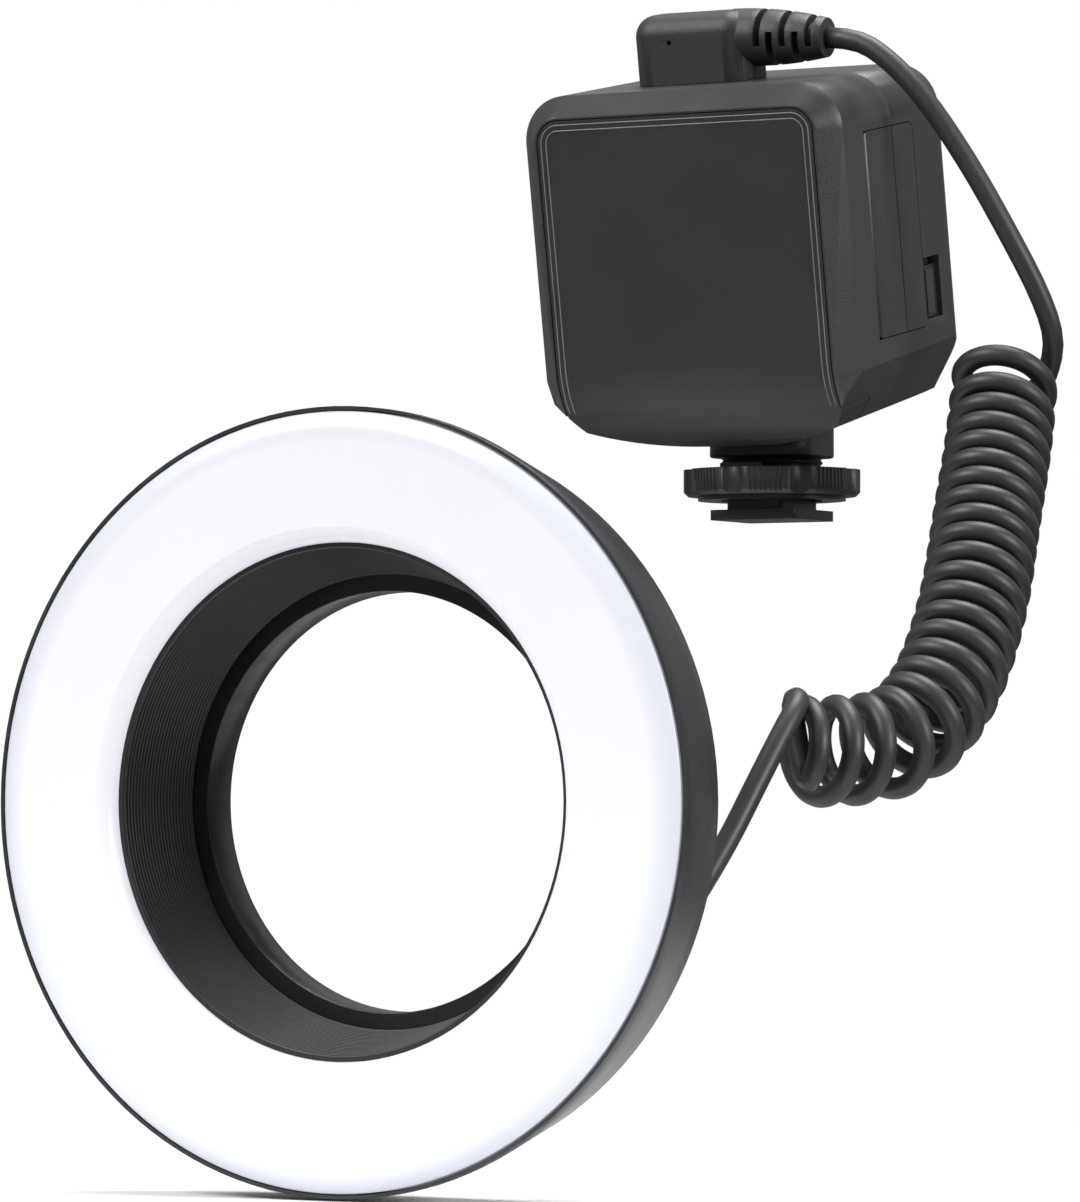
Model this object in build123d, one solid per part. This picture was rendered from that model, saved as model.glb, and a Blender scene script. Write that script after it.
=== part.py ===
from build123d import *
import math
import os

# Macro ring flash: a controller on a camera's hot shoe, a ring head on the lens, a curly cord between.
# Millimetres. The origin is the centre of the shoe foot's underside, +Z is up, and light leaves to -Y.

# Controller body, in its own frame: X across, Y from front to back, Z up from the bottom's lowest line
BODY_WIDTH = 68.0
BODY_HEIGHT = 70.5
BODY_FRONT = -31.4
BODY_BACK = 18.4
BODY_PARTING = -6.1
BODY_TILT = 10.5
BODY_LIFT = 16.7
BODY_CROWN = 8.2
BODY_CORNER = 9.0
BODY_LOW_CORNER = 7.5
BODY_UNDER_RADIUS = 18.0
BODY_UNDER_RISE = 1.2
BODY_BACK_EDGE = 3.2
BEZEL = 4.0
WALL = 2.2
CLEAR = 0.2
RUN_CLEAR = 0.05
OVERRUN = 5.0

# Front plate, set into the face
PLATE_THICK = 1.0
PLATE_MARGIN = 0.6
PLATE_LINE = 0.25
PLATE_END_SHARE = 0.86

# Battery door, hinged along its front edge
DOOR_FRONT = -18.5
DOOR_BACK = 3.2
DOOR_LOW = 20.2
DOOR_TOP_MARGIN = 10.7
DOOR_THICK = 2.4
DOOR_CORNER = 1.6
HINGE_PIN_RADIUS = 0.5
HINGE_PIN_REACH = 1.6

# Door latch, in a slot behind the door
LATCH_GAP = 0.3
LATCH_DEPTH = 6.6
LATCH_LOW = 21.6
LATCH_LENGTH = 10.0
LATCH_TRAVEL = 1.5
LATCH_RIB_WIDTH = 3.2
LATCH_RIB_HEIGHT = 0.8
LATCH_RIB_EDGE = 0.7
LATCH_SINK = 0.9
LATCH_LIP = 1.2
LATCH_PLATE = 1.0

# Battery and its tray
PACK_END_MARGIN = 10.2
PACK_DEPTH = 17.0
PACK_DOOR_MARGIN = 1.8
PACK_CORNER = 2.0
TRAY_WALL = 1.0
TRAY_CLEAR = 0.4
TERMINAL_SIZE = 5.0
TERMINAL_THICK = 1.2
TERMINAL_PITCH = 12.0

# Boards and rear controls
BOARD_FRONT = 6.6
BOARD_THICK = 1.6
BOARD_EDGE = 1.9
BOARD_TOP_MARGIN = 10.5
BOARD_LOW = 10.0
POST_RADIUS = 2.4
SCREW_RADIUS = 1.0
SCREW_HEAD_RADIUS = 1.9
SCREW_HEAD_THICK = 1.2
SCREW_BITE = 4.0
SCREW_SLOT = 0.6
POST_INSET = 2.7
DISPLAY_SIDE_MARGIN = 14.0
DISPLAY_TOP_MARGIN = 9.5
DISPLAY_GAP = 5.0
DISPLAY_LIP = 1.5
WINDOW_THICK = 1.2
WINDOW_CORNER = 2.0
DIAL_MIDDLE = 22.0
DIAL_RADIUS = 12.0
DIAL_HEIGHT = 5.0
DIAL_PROUD = 3.8
DIAL_RIBS = 36
DIAL_RIB_DEPTH = 0.4
DIAL_POST_RADIUS = 6.0
DIAL_POST_WALL = 0.8
ENCODER_SIZE = 14.0
ENCODER_THICK = 3.0
BUTTON_SINK = 0.3
BUTTON_TRAVEL = 0.5
BUTTON_PROUD = 0.8
BUTTON_FLANGE = 0.8
MODE_WIDTH = 7.0
MODE_HEIGHT = 6.0
MODE_LOW_Z = 24.2
MODE_PITCH = 9.0
TACT_SIZE = 4.0
SWITCH_WIDTH = 5.0
SWITCH_LENGTH = 6.0
SWITCH_TRAVEL = 3.0
SWITCH_PROUD = 1.2
CORNER_SCREW_INSET = 6.2
CORNER_SCREW_LOW = 17.2
CORNER_SCREW_TOP_MARGIN = 7.7
CORNER_POST_RADIUS = 3.0

# Plug on top of the controller
PLUG_MIDDLE_Y = -8.0
PLUG_LEFT = -16.9
PLUG_RIGHT = 8.0
PLUG_DEPTH = 12.6
PLUG_HEIGHT = 13.4
PLUG_CORNER = 4.8
PLUG_SHOULDER = 4.2
PLUG_SEAM = 0.1
PLUG_PIN_HOLE = 0.5
RELIEF_END = 23.0
RELIEF_BIG_RADIUS = 5.5
RELIEF_SMALL_RADIUS = 3.8
RELIEF_BULGE = 0.65
RELIEF_AXIS = 8.2
RELIEF_DROOP = 3.3
RELIEF_SLOT = 1.4
RELIEF_SLOT_START = 6.4
RELIEF_CORE_WALL = 0.9
RELIEF_SLOT_PITCH = 5.2
RELIEF_TOP_SLOTS = 3
RELIEF_LOW_SLOTS = 2
SOCKET_RADIUS = 4.2
SOCKET_DEPTH = 9.0
SOCKET_X = -8.0
SOCKET_FLANGE = 1.2
JACK_RADIUS = 1.75
JACK_LENGTH = 7.0

# Shoe foot, threaded stem, clamp and neck
FOOT_WIDTH = 18.6
FOOT_LENGTH = 18.0
FOOT_THICK = 2.0
FOOT_CORNER = 1.0
WEB_WIDTH = 12.2
WEB_LENGTH = 16.0
STEM_RADIUS = 10.0
STEM_LOW = 4.2
THREAD_PITCH = 1.0
THREAD_DEPTH = 0.45
THREAD_TURNS = 8
CLAMP_LOW = 3.9
CLAMP_THICK = 0.8
CLAMP_RADIUS = 14.5
WHEEL_RADIUS = 17.3
WHEEL_THICK = 5.2
WHEEL_LOBES = 8
WHEEL_LOBE_DEPTH = 0.9
WHEEL_RIBS = 7
WHEEL_RIB_RADIUS = 0.32
WHEEL_CHAMFER = 0.8
WHEEL_LUG_WIDTH = 9.0
WHEEL_LUG_DEPTH = 3.4
WHEEL_LUG_HEIGHT = 0.9
NECK_WIDTH = 21.8
NECK_DEPTH = 18.4
NECK_LOW = 12.3
NECK_CORNER = 5.0
NECK_SCREW_X = 6.0
NECK_SCREW_Y = 4.5

# Ring head, in its own frame: radius, and depth back from the rim's front edge
RING_Y = -170.0
RING_Z = -55.0
LIGHT_WIDTH = 24.4
RIM_TAPER = 3.7
RIM_LIP_DEPTH = 2.4
RIM_DEPTH = 19.2
RIM_LIP = 0.6
RIM_WALL = 2.0
RIM_LEDGE = 4.4
SHELF_REACH = 3.2
SHELF_DEPTH = 4.4
DIFFUSER_GAP = 0.3
DIFFUSER_SHOULDER = 3.8
DIFFUSER_RISE = 1.6
DIFFUSER_THICK = 1.6
DIFFUSER_INNER_ROUND = 2.6
DIFFUSER_ROLL_SHARE = 0.25
SLEEVE_LIP_DEPTH = 1.8
SLEEVE_FLARE = 4.3
SLEEVE_STEP = 3.0
SLEEVE_BACK = 18.6
SLEEVE_LIP_WALL = 0.8
SLEEVE_LIP_LENGTH = 7.6
SLEEVE_WALL = 1.8
SLEEVE_RIDGES = 22
SLEEVE_RIDGE_DEPTH = 0.3
TRAY_DEPTH = 9.0
TRAY_FLOOR = 1.2
TRAY_SIDE = 1.2
LED_BOARD_THICK = 1.2
LED_SIZE = 2.8
LED_HEIGHT = 0.8
LED_ROW_SHARES = (0.25, 0.73)
LEDS_PER_RING = 36
COVER_THICK = 2.4
COVER_RIB_GAP = 1.1
COVER_RIB_WALL = 1.2
COVER_RIB_DEPTH = 3.2
COVER_SCREWS = 6
COVER_SCREW_INSET = 1.9
COVER_SCREW_LENGTH = 3.4
COVER_SCREW_ANGLE = 30

# Adapter ring with the lens thread
ADAPTER_RIM = 4.4
ADAPTER_WALL = 1.5
ADAPTER_FRONT = 18.9
ADAPTER_FLANGE = 4.4
ADAPTER_GROOVE_DEPTH = 1.4
ADAPTER_GROOVE_WIDTH = 1.6
ADAPTER_GROOVE_START = 1.3
LENS_THREAD_RADIUS = 38.5
LENS_THREAD_LENGTH = 3.6

# Release catches on the ring head's back
CATCH_TRAVEL = 2.0
CATCH_GAP = 2.5
CATCH_LENGTH_SHARE = 0.58
CATCH_WIDTH = 9.0
CATCH_PLATE = 1.3
CATCH_PLATE_MARGIN = 1.6
CATCH_PROUD = 1.6
CATCH_NOSE_REACH = 3.4
CATCH_NOSE_WIDTH = 6.0
CATCH_NOSE_THICK = 1.0
CATCH_RIBS = 4
CATCH_RIB_HEIGHT = 0.4
CATCH_SPRING_RADIUS = 1.4
CATCH_SPRING_WIRE = 0.25
CATCH_SPRING_TURNS = 4

# Cord
CORD_DIAMETER = 4.0
COIL_RADIUS = 8.2
COIL_FIRST_TURN = 0.5
COIL_LAST_TURN = 21.5
COIL_LOOSE_TURNS = 2
COIL_LOOSE_SHARE = 0.45
COIL_OPEN_TURNS = 5
COIL_OPEN_SHARE = 0.25
COIL_QUARTERS = 4
POINTS_PER_QUARTER = 12
ROUTE_STEPS = 40
ARC_SHARE = 0.45
GLAND_RIB_GAP = 1.2
GLAND_ANGLE = -45.0
GLAND_LENGTH = 13.0
GLAND_TILT = 40.0
GLAND_TURN = 63.0
GLAND_LEAD_START = 9.0
GLAND_COLLAR = 3.0
GLAND_BASE_RADIUS = 4.2
GLAND_TIP_RADIUS = 3.0
GLAND_NECK_RADIUS = 3.2
GLAND_FLANGE = 0.9
GLAND_RINGS = 3
GLAND_RING_DEPTH = 0.45
GLAND_RING_WIDTH = 1.1

# The cord's route, from the plug to the coil, through the coil's middle, and from the coil to the gland
PLUG_LEAD_START = 6.2
PLUG_LEAD_ROUTE = [
    (35.0, -21.7, 87.2),
    (40.4, -21.2, 82.0),
    (45.4, -20.4, 75.6),
    (52.0, -18.6, 65.0),
    (58.0, -15.8, 53.0),
    (62.6, -11.4, 41.6),
]
COIL_ENTRY = (64.3, -7.9, 33.0)
COIL_ROUTE = [
    (54.4, -9.0, 28.8),
    (57.9, -19.0, 15.1),
    (61.4, -33.5, -2.5),
    (65.2, -47.0, -18.7),
    (66.1, -61.0, -34.9),
    (63.1, -73.0, -44.1),
    (57.3, -83.0, -46.0),
    (50.8, -93.0, -45.9),
]
COIL_EXIT = (52.8, -103.0, -42.2)
GLAND_LEAD_ROUTE = [
    (51.6, -109.5, -51.5),
    (49.6, -116.5, -61.5),
    (46.6, -123.0, -71.0),
]

os.makedirs("parts", exist_ok=True)


def along_x(shape, start, end):
    """A sketch drawn in Y and Z, as a solid from start to end along X."""
    return extrude(Plane.YZ.offset(start) * shape, amount=end - start)


def along_y(shape, start, end):
    """A sketch drawn in X and Z, as a solid from start to end along Y."""
    return extrude(Plane.XZ.offset(-end) * shape, amount=end - start)


def along_z(shape, start, end):
    """A sketch drawn in X and Y, as a solid from start to end along Z."""
    return extrude(Plane.XY.offset(start) * shape, amount=end - start)


def block(x, y, z):
    """A box between two values along each axis."""
    middle = [sum(pair) / 2 for pair in (x, y, z)]
    return Pos(*middle) * Box(x[1] - x[0], y[1] - y[0], z[1] - z[0])


def turned(*points):
    """A solid turned about the Y axis from points of radius and depth."""
    return revolve(make_face(Polyline(*points, close=True)), axis=Axis.Y)


def rod_y(radius, x, z, start, end):
    """A round rod along Y."""
    return along_y(Pos(x, z) * Circle(radius), start, end)


def screw_y(x, z, head_end, tip, radius=SCREW_RADIUS, head=SCREW_HEAD_RADIUS):
    """A slotted screw along Y, with its head's outer face at head_end."""
    step = math.copysign(SCREW_HEAD_THICK, tip - head_end)
    low, high = sorted((head_end, head_end + step))
    shank_low, shank_high = sorted((head_end + step, tip))
    body = rod_y(head, x, z, low, high) + rod_y(radius, x, z, shank_low, shank_high)
    slot_end = head_end + step / 2
    slot = block(
        (x - head, x + head),
        sorted((head_end, slot_end)),
        (z - SCREW_SLOT / 2, z + SCREW_SLOT / 2),
    )
    return body - slot


def save(node, shape, place=Location()):
    """Write one node's shape, or its list of shapes, in the object's frame."""
    shapes = shape if isinstance(shape, list) else [shape]
    solids = [solid for one in shapes for solid in (place * one).solids()]
    export_step(Compound(children=solids) if len(solids) > 1 else solids[0], f"parts/{node}.step")


side_x = BODY_WIDTH / 2
door_high = BODY_HEIGHT - DOOR_TOP_MARGIN
controls_x = (DIAL_RADIUS + side_x - WALL) / 2
board_width = 2 * (controls_x + BOARD_EDGE)
board_top = BODY_HEIGHT - BOARD_TOP_MARGIN
post_x = board_width / 2 - POST_INSET
display_width = BODY_WIDTH - 2 * DISPLAY_SIDE_MARGIN
display_low = DIAL_MIDDLE + DIAL_RADIUS + DISPLAY_GAP
display_high = BODY_HEIGHT - DISPLAY_TOP_MARGIN
display_height = display_high - display_low
display_middle = (display_low + display_high) / 2
corner_screw_x = side_x - CORNER_SCREW_INSET
corner_screw_high = BODY_HEIGHT - CORNER_SCREW_TOP_MARGIN

# The ring head's radii follow the lens thread
adapter_radius = LENS_THREAD_RADIUS + ADAPTER_RIM
adapter_bore = LENS_THREAD_RADIUS - ADAPTER_WALL
cover_hole_radius = adapter_radius + RUN_CLEAR
sleeve_back_radius = adapter_radius - SLEEVE_STEP
sleeve_front_radius = sleeve_back_radius + SLEEVE_FLARE
rim_front_radius = sleeve_front_radius + LIGHT_WIDTH
rim_back_radius = rim_front_radius - RIM_TAPER

CONTROLLER = Location((0, 0, BODY_LIFT)) * Location((0, 0, 0), (BODY_TILT, 0, 0))
RING = Location((0, RING_Y, RING_Z))


# Controller shells


def upper_outline(inset):
    """The body's outline from the front, open below: straight sides and a top with round corners."""
    top = BODY_HEIGHT - inset
    face = Pos(0, (top - OVERRUN) / 2) * Rectangle(2 * (side_x - inset), top + OVERRUN)
    return fillet(face.vertices().sort_by(Axis.Y)[-2:], BODY_CORNER - inset)


def lower_outline(inset):
    """The body's outline from the front, open above: slanted lower corners and a crowned bottom."""
    half = side_x - inset
    side = BODY_CROWN + inset
    top = BODY_HEIGHT + OVERRUN
    lines = [
        Line((-half, side), (-half, top)),
        Line((-half, top), (half, top)),
        Line((half, top), (half, side)),
        ThreePointArc((half, side), (0, inset), (-half, side)),
    ]
    face = make_face(Curve() + lines)
    half_corner = math.pi / 4 + math.atan(BODY_CROWN / side_x)
    drawn_in = inset * (1 / math.sin(half_corner) - 1) / math.cos(half_corner)
    return chamfer(face.vertices().sort_by(Axis.Y)[:2], BODY_LOW_CORNER - drawn_in)


def side_outline(inset):
    """The body's outline from the side, with the big curve under its front."""
    radius = BODY_UNDER_RADIUS - inset
    front = BODY_FRONT + inset
    back = BODY_BACK - inset
    top = BODY_HEIGHT - inset
    low = inset
    turn = radius * math.sqrt(0.5)
    lines = [
        Line((front, top), (front, low + radius)),
        ThreePointArc(
            (front, low + radius),
            (front + radius - turn, low + radius - turn),
            (front + radius, low),
        ),
        Line((front + radius, low), (back, low + BODY_UNDER_RISE)),
        Line((back, low + BODY_UNDER_RISE), (back, top)),
        Line((back, top), (front, top)),
    ]
    return make_face(Curve() + lines)


def body_form(inset):
    """The controller's form, drawn in by inset on every side."""
    front = BODY_FRONT + inset
    bezel_back = BODY_FRONT + BEZEL + inset
    bezel = loft(
        [
            Plane.XZ.offset(-front) * upper_outline(BEZEL + inset),
            Plane.XZ.offset(-bezel_back) * upper_outline(inset),
        ],
        ruled=True,
    )
    main = along_y(upper_outline(inset), bezel_back, BODY_BACK - inset)
    if inset == 0:
        rear_edges = main.faces().sort_by(Axis.Y)[-1].edges().sort_by(Axis.Z)[1:]
        main = fillet(rear_edges, BODY_BACK_EDGE)
    side = along_x(side_outline(inset), -BODY_WIDTH, BODY_WIDTH)
    bend = BODY_FRONT + BODY_UNDER_RADIUS
    under_way = Vector(0, BODY_BACK - bend, BODY_UNDER_RISE).normalized()
    under = Plane(origin=(0, bend, 0), x_dir=(1, 0, 0), z_dir=(0, -1, 0)) * lower_outline(inset)
    under = extrude(under, amount=BODY_BACK - BODY_FRONT, dir=under_way, both=True)
    return (bezel + main) & side & under


outer = body_form(0)
cavity = body_form(WALL)
front_half = block(
    (-BODY_WIDTH, BODY_WIDTH),
    (BODY_FRONT - OVERRUN, BODY_PARTING),
    (-OVERRUN, BODY_HEIGHT + OVERRUN),
)
rear_half = block(
    (-BODY_WIDTH, BODY_WIDTH),
    (BODY_PARTING, BODY_BACK + OVERRUN),
    (-OVERRUN, BODY_HEIGHT + OVERRUN),
)

# The front plate is a skin of the face, from its top edge to well round the curve below
plate_end = BODY_FRONT + BODY_UNDER_RADIUS * PLATE_END_SHARE


def face_skin(thick, margin, end):
    """A skin of the body's face inside the bezel, back to a depth."""
    prism = along_y(upper_outline(BEZEL + margin), BODY_FRONT - OVERRUN, end)
    shell = outer - Pos(0, thick, thick) * body_form(0)
    return shell & prism


plate = face_skin(PLATE_THICK, PLATE_MARGIN, plate_end)
plate_seat = face_skin(PLATE_THICK, PLATE_MARGIN - PLATE_LINE, plate_end + PLATE_LINE)
plate = plate.solids().sort_by(SortBy.VOLUME)[-1]

# Side opening for the battery door, the latch slot behind it, and the hinge
door_inner_x = side_x - DOOR_THICK
hinge_x = side_x - DOOR_THICK / 2
hinge_y = DOOR_FRONT + DOOR_THICK / 2
door_middle = ((DOOR_FRONT + DOOR_BACK) / 2, (DOOR_LOW + door_high) / 2)
door_size = (DOOR_BACK - DOOR_FRONT, door_high - DOOR_LOW)
door_hole = along_x(
    Pos(*door_middle)
    * RectangleRounded(door_size[0] + 2 * CLEAR, door_size[1] + 2 * CLEAR, DOOR_CORNER + CLEAR),
    door_inner_x - OVERRUN,
    side_x + OVERRUN,
)
door_hole = door_hole + block(
    (door_inner_x - OVERRUN, side_x + OVERRUN),
    (DOOR_FRONT - CLEAR, DOOR_FRONT + DOOR_CORNER + CLEAR),
    (DOOR_LOW - CLEAR, door_high + CLEAR),
)
hinge_bore = Pos(hinge_x, hinge_y, 0) * along_z(
    Circle(HINGE_PIN_RADIUS), DOOR_LOW - HINGE_PIN_REACH, door_high + HINGE_PIN_REACH
)
latch_y = (DOOR_BACK + CLEAR + LATCH_GAP, DOOR_BACK + CLEAR + LATCH_GAP + LATCH_DEPTH)
latch_z = (LATCH_LOW, LATCH_LOW + LATCH_LENGTH)
latch_slot = block(
    (door_inner_x - OVERRUN, side_x + OVERRUN),
    (latch_y[0] - CLEAR, latch_y[1] + CLEAR),
    (latch_z[0] - CLEAR, latch_z[1] + LATCH_TRAVEL + CLEAR),
)

# Posts and holes along the depth of the body
corner_screws = [
    (x, z) for x in (-corner_screw_x, corner_screw_x) for z in (CORNER_SCREW_LOW, corner_screw_high)
]
post_rows = (BOARD_LOW + POST_RADIUS, board_top - POST_RADIUS)
board_posts = [(x, z) for x in (-post_x, post_x) for z in post_rows]
inner_front = BODY_FRONT + WALL
inner_back = BODY_BACK - WALL
screw_head_face = BODY_BACK - SCREW_HEAD_THICK
screw_tip = BODY_PARTING - SCREW_BITE


def shell_posts(places, radius, start, end):
    """Round posts kept inside the body's form."""
    posts = [rod_y(radius, x, z, start, end) for x, z in places]
    return (Part() + posts) & outer


# Neck screws run down the body's own upright, through its floor and into the neck
neck_screws = [(x, y) for x in (-NECK_SCREW_X, NECK_SCREW_X) for y in (-NECK_SCREW_Y, NECK_SCREW_Y)]
neck_screw_holes = [
    Pos(x, y, 0) * along_z(Circle(SCREW_RADIUS), -BODY_LIFT, BODY_UNDER_RADIUS) for x, y in neck_screws
]

# Top opening for the socket
plug_base = BODY_HEIGHT
socket_hole = Pos(SOCKET_X, PLUG_MIDDLE_Y, 0) * along_z(
    Circle(SOCKET_RADIUS), BODY_HEIGHT - WALL - OVERRUN, BODY_HEIGHT + OVERRUN
)


def make_front_cover():
    """Front half of the body, with the plate's seat, half the door opening and the screw posts."""
    shell = (outer - cavity) & front_half
    shell = shell + shell_posts(corner_screws, CORNER_POST_RADIUS, inner_front, BODY_PARTING)
    backing = face_skin(PLATE_THICK + WALL, PLATE_MARGIN - WALL, plate_end + WALL) & front_half
    shell = shell + backing - plate_seat
    shell = shell - door_hole - hinge_bore - socket_hole
    bores = [rod_y(SCREW_RADIUS, x, z, screw_tip - SCREW_BITE, BODY_PARTING) for x, z in corner_screws]
    shell = shell - bores - neck_screw_holes
    return shell.solids().sort_by(SortBy.VOLUME)[-1]


def make_rear_shell():
    """Rear half of the body, with the display, dial, button and switch openings."""
    shell = (outer - cavity) & rear_half
    shell = shell + shell_posts(corner_screws, CORNER_POST_RADIUS, BODY_PARTING, inner_back)
    shell = shell + shell_posts(board_posts, POST_RADIUS, BOARD_FRONT + BOARD_THICK, inner_back)
    shell = shell - [rod_y(SCREW_RADIUS, x, z, BODY_PARTING, BODY_BACK) for x, z in corner_screws]
    shell = shell - [
        rod_y(SCREW_HEAD_RADIUS + CLEAR, x, z, screw_head_face - SCREW_HEAD_THICK, BODY_BACK)
        for x, z in corner_screws
    ]
    shell = shell - [
        rod_y(SCREW_RADIUS, x, z, BOARD_FRONT, BOARD_FRONT + BOARD_THICK + SCREW_BITE)
        for x, z in board_posts
    ]
    shell = shell - door_hole - hinge_bore - latch_slot - socket_hole
    window = Pos(0, display_middle) * RectangleRounded(
        display_width + CLEAR, display_height + CLEAR, WINDOW_CORNER
    )
    sight = Pos(0, display_middle) * RectangleRounded(
        display_width - 2 * DISPLAY_LIP, display_height - 2 * DISPLAY_LIP, WINDOW_CORNER
    )
    shell = shell - along_y(window, BODY_BACK - WINDOW_THICK, BODY_BACK + OVERRUN)
    shell = shell - along_y(sight, inner_back - OVERRUN, BODY_BACK)
    shell = shell - rod_y(DIAL_RADIUS + CLEAR, 0, DIAL_MIDDLE, inner_back - OVERRUN, BODY_BACK + OVERRUN)
    for step in range(2):
        opening = Pos(-controls_x, MODE_LOW_Z + step * MODE_PITCH) * RectangleRounded(
            MODE_WIDTH + 2 * BUTTON_SINK, MODE_HEIGHT + 2 * BUTTON_SINK, WINDOW_CORNER
        )
        shell = shell - along_y(opening, inner_back - OVERRUN, BODY_BACK + OVERRUN)
    slide = block(
        (controls_x - SWITCH_WIDTH / 2 - BUTTON_SINK, controls_x + SWITCH_WIDTH / 2 + BUTTON_SINK),
        (inner_back - OVERRUN, BODY_BACK + OVERRUN),
        (
            DIAL_MIDDLE - (SWITCH_LENGTH + SWITCH_TRAVEL) / 2 - BUTTON_SINK,
            DIAL_MIDDLE + (SWITCH_LENGTH + SWITCH_TRAVEL) / 2 + BUTTON_SINK,
        ),
    )
    shell = shell - slide - neck_screw_holes
    return shell.solids().sort_by(SortBy.VOLUME)[-1]


front_cover = make_front_cover()
rear_shell = make_rear_shell()
save("front_cover", front_cover, CONTROLLER)
save("front_plate", plate, CONTROLLER)
save("rear_shell", rear_shell, CONTROLLER)


# Battery door, its pin and its latch


def make_battery_door():
    """Flat door with a round hinge edge, bored for the pin."""
    panel = along_x(
        Pos(*door_middle) * RectangleRounded(door_size[0], door_size[1], DOOR_CORNER),
        door_inner_x,
        side_x,
    )
    front = block(
        (door_inner_x - OVERRUN, side_x + OVERRUN),
        (DOOR_FRONT - OVERRUN, hinge_y),
        (DOOR_LOW - OVERRUN, door_high + OVERRUN),
    )
    edge = Pos(hinge_x, hinge_y, 0) * along_z(Circle(DOOR_THICK / 2), DOOR_LOW, door_high)
    door = (panel - front) + (edge & panel)
    bore = Pos(hinge_x, hinge_y, 0) * along_z(
        Circle(HINGE_PIN_RADIUS + RUN_CLEAR), DOOR_LOW - OVERRUN, door_high + OVERRUN
    )
    line = block(
        (side_x - SCREW_SLOT / 2, side_x + OVERRUN),
        (BODY_PARTING - SCREW_SLOT / 4, BODY_PARTING + SCREW_SLOT / 4),
        (DOOR_LOW - OVERRUN, door_high + OVERRUN),
    )
    return door - bore - line


def make_door_latch():
    """Sunk slide with a raised grip rib, and a plate behind the shell's wall."""
    outer_x = side_x - LATCH_SINK
    slider = block((side_x - WALL - RUN_CLEAR, outer_x), latch_y, latch_z)
    rib = block(
        (outer_x, outer_x + LATCH_RIB_HEIGHT),
        (latch_y[0] + LATCH_RIB_EDGE, latch_y[0] + LATCH_RIB_EDGE + LATCH_RIB_WIDTH),
        (latch_z[0] + LATCH_RIB_EDGE, latch_z[1] - LATCH_RIB_EDGE),
    )
    back = block(
        (side_x - WALL - CLEAR - LATCH_PLATE, side_x - WALL - CLEAR),
        (latch_y[0], latch_y[1] + LATCH_LIP),
        (latch_z[0] - LATCH_LIP, latch_z[1] + LATCH_LIP),
    )
    web = block((side_x - WALL - CLEAR, side_x - WALL - RUN_CLEAR), latch_y, latch_z)
    return slider + rib + back + web


save("battery_door", make_battery_door(), CONTROLLER)
save(
    "door_hinge_pin",
    Pos(hinge_x, hinge_y, 0)
    * along_z(Circle(HINGE_PIN_RADIUS), DOOR_LOW - HINGE_PIN_REACH, door_high + HINGE_PIN_REACH),
    CONTROLLER,
)
save("door_latch", make_door_latch(), CONTROLLER)

# Battery pack in its tray, behind the door
pack_right = door_inner_x - CLEAR - TRAY_CLEAR
pack_x = (PACK_END_MARGIN - side_x, pack_right)
pack_height = door_high - DOOR_LOW - 2 * PACK_DOOR_MARGIN
pack_y = (DOOR_FRONT + DOOR_THICK + TRAY_CLEAR, DOOR_FRONT + DOOR_THICK + TRAY_CLEAR + PACK_DEPTH)
pack_middle_z = (DOOR_LOW + door_high) / 2
pack_middle_y = sum(pack_y) / 2


def pack_face(margin, corner):
    """The battery's end face, grown by a margin."""
    face = RectangleRounded(PACK_DEPTH + 2 * margin, pack_height + 2 * margin, corner)
    return Pos(pack_middle_y, pack_middle_z) * face


tray_left = pack_x[0] - TERMINAL_THICK - TRAY_WALL
tray = along_x(pack_face(TRAY_CLEAR + TRAY_WALL, PACK_CORNER + TRAY_WALL), tray_left, pack_right)
tray = tray - along_x(pack_face(TRAY_CLEAR, PACK_CORNER), tray_left + TRAY_WALL, pack_right + OVERRUN)
tray_feet_seat = BODY_FRONT + PLATE_THICK + WALL
tray_feet = [
    block(
        (x - POST_RADIUS, x + POST_RADIUS),
        (tray_feet_seat, pack_y[0] - TRAY_CLEAR - TRAY_WALL),
        (pack_middle_z - POST_RADIUS, pack_middle_z + POST_RADIUS),
    )
    for x in (-post_x, post_x)
]
save("battery_tray", tray + tray_feet, CONTROLLER)
pack = along_x(pack_face(0, PACK_CORNER), *pack_x)
pack = fillet(pack.edges().filter_by(Axis.X, reverse=True), PACK_CORNER / 4)
save("battery_pack", pack, CONTROLLER)
save(
    "battery_terminals",
    [
        block(
            (pack_x[0] - TERMINAL_THICK, pack_x[0]),
            (pack_middle_y - TERMINAL_SIZE / 2, pack_middle_y + TERMINAL_SIZE / 2),
            (z - TERMINAL_SIZE / 2, z + TERMINAL_SIZE / 2),
        )
        for z in (pack_middle_z - TERMINAL_PITCH / 2, pack_middle_z + TERMINAL_PITCH / 2)
    ],
    CONTROLLER,
)

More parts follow.
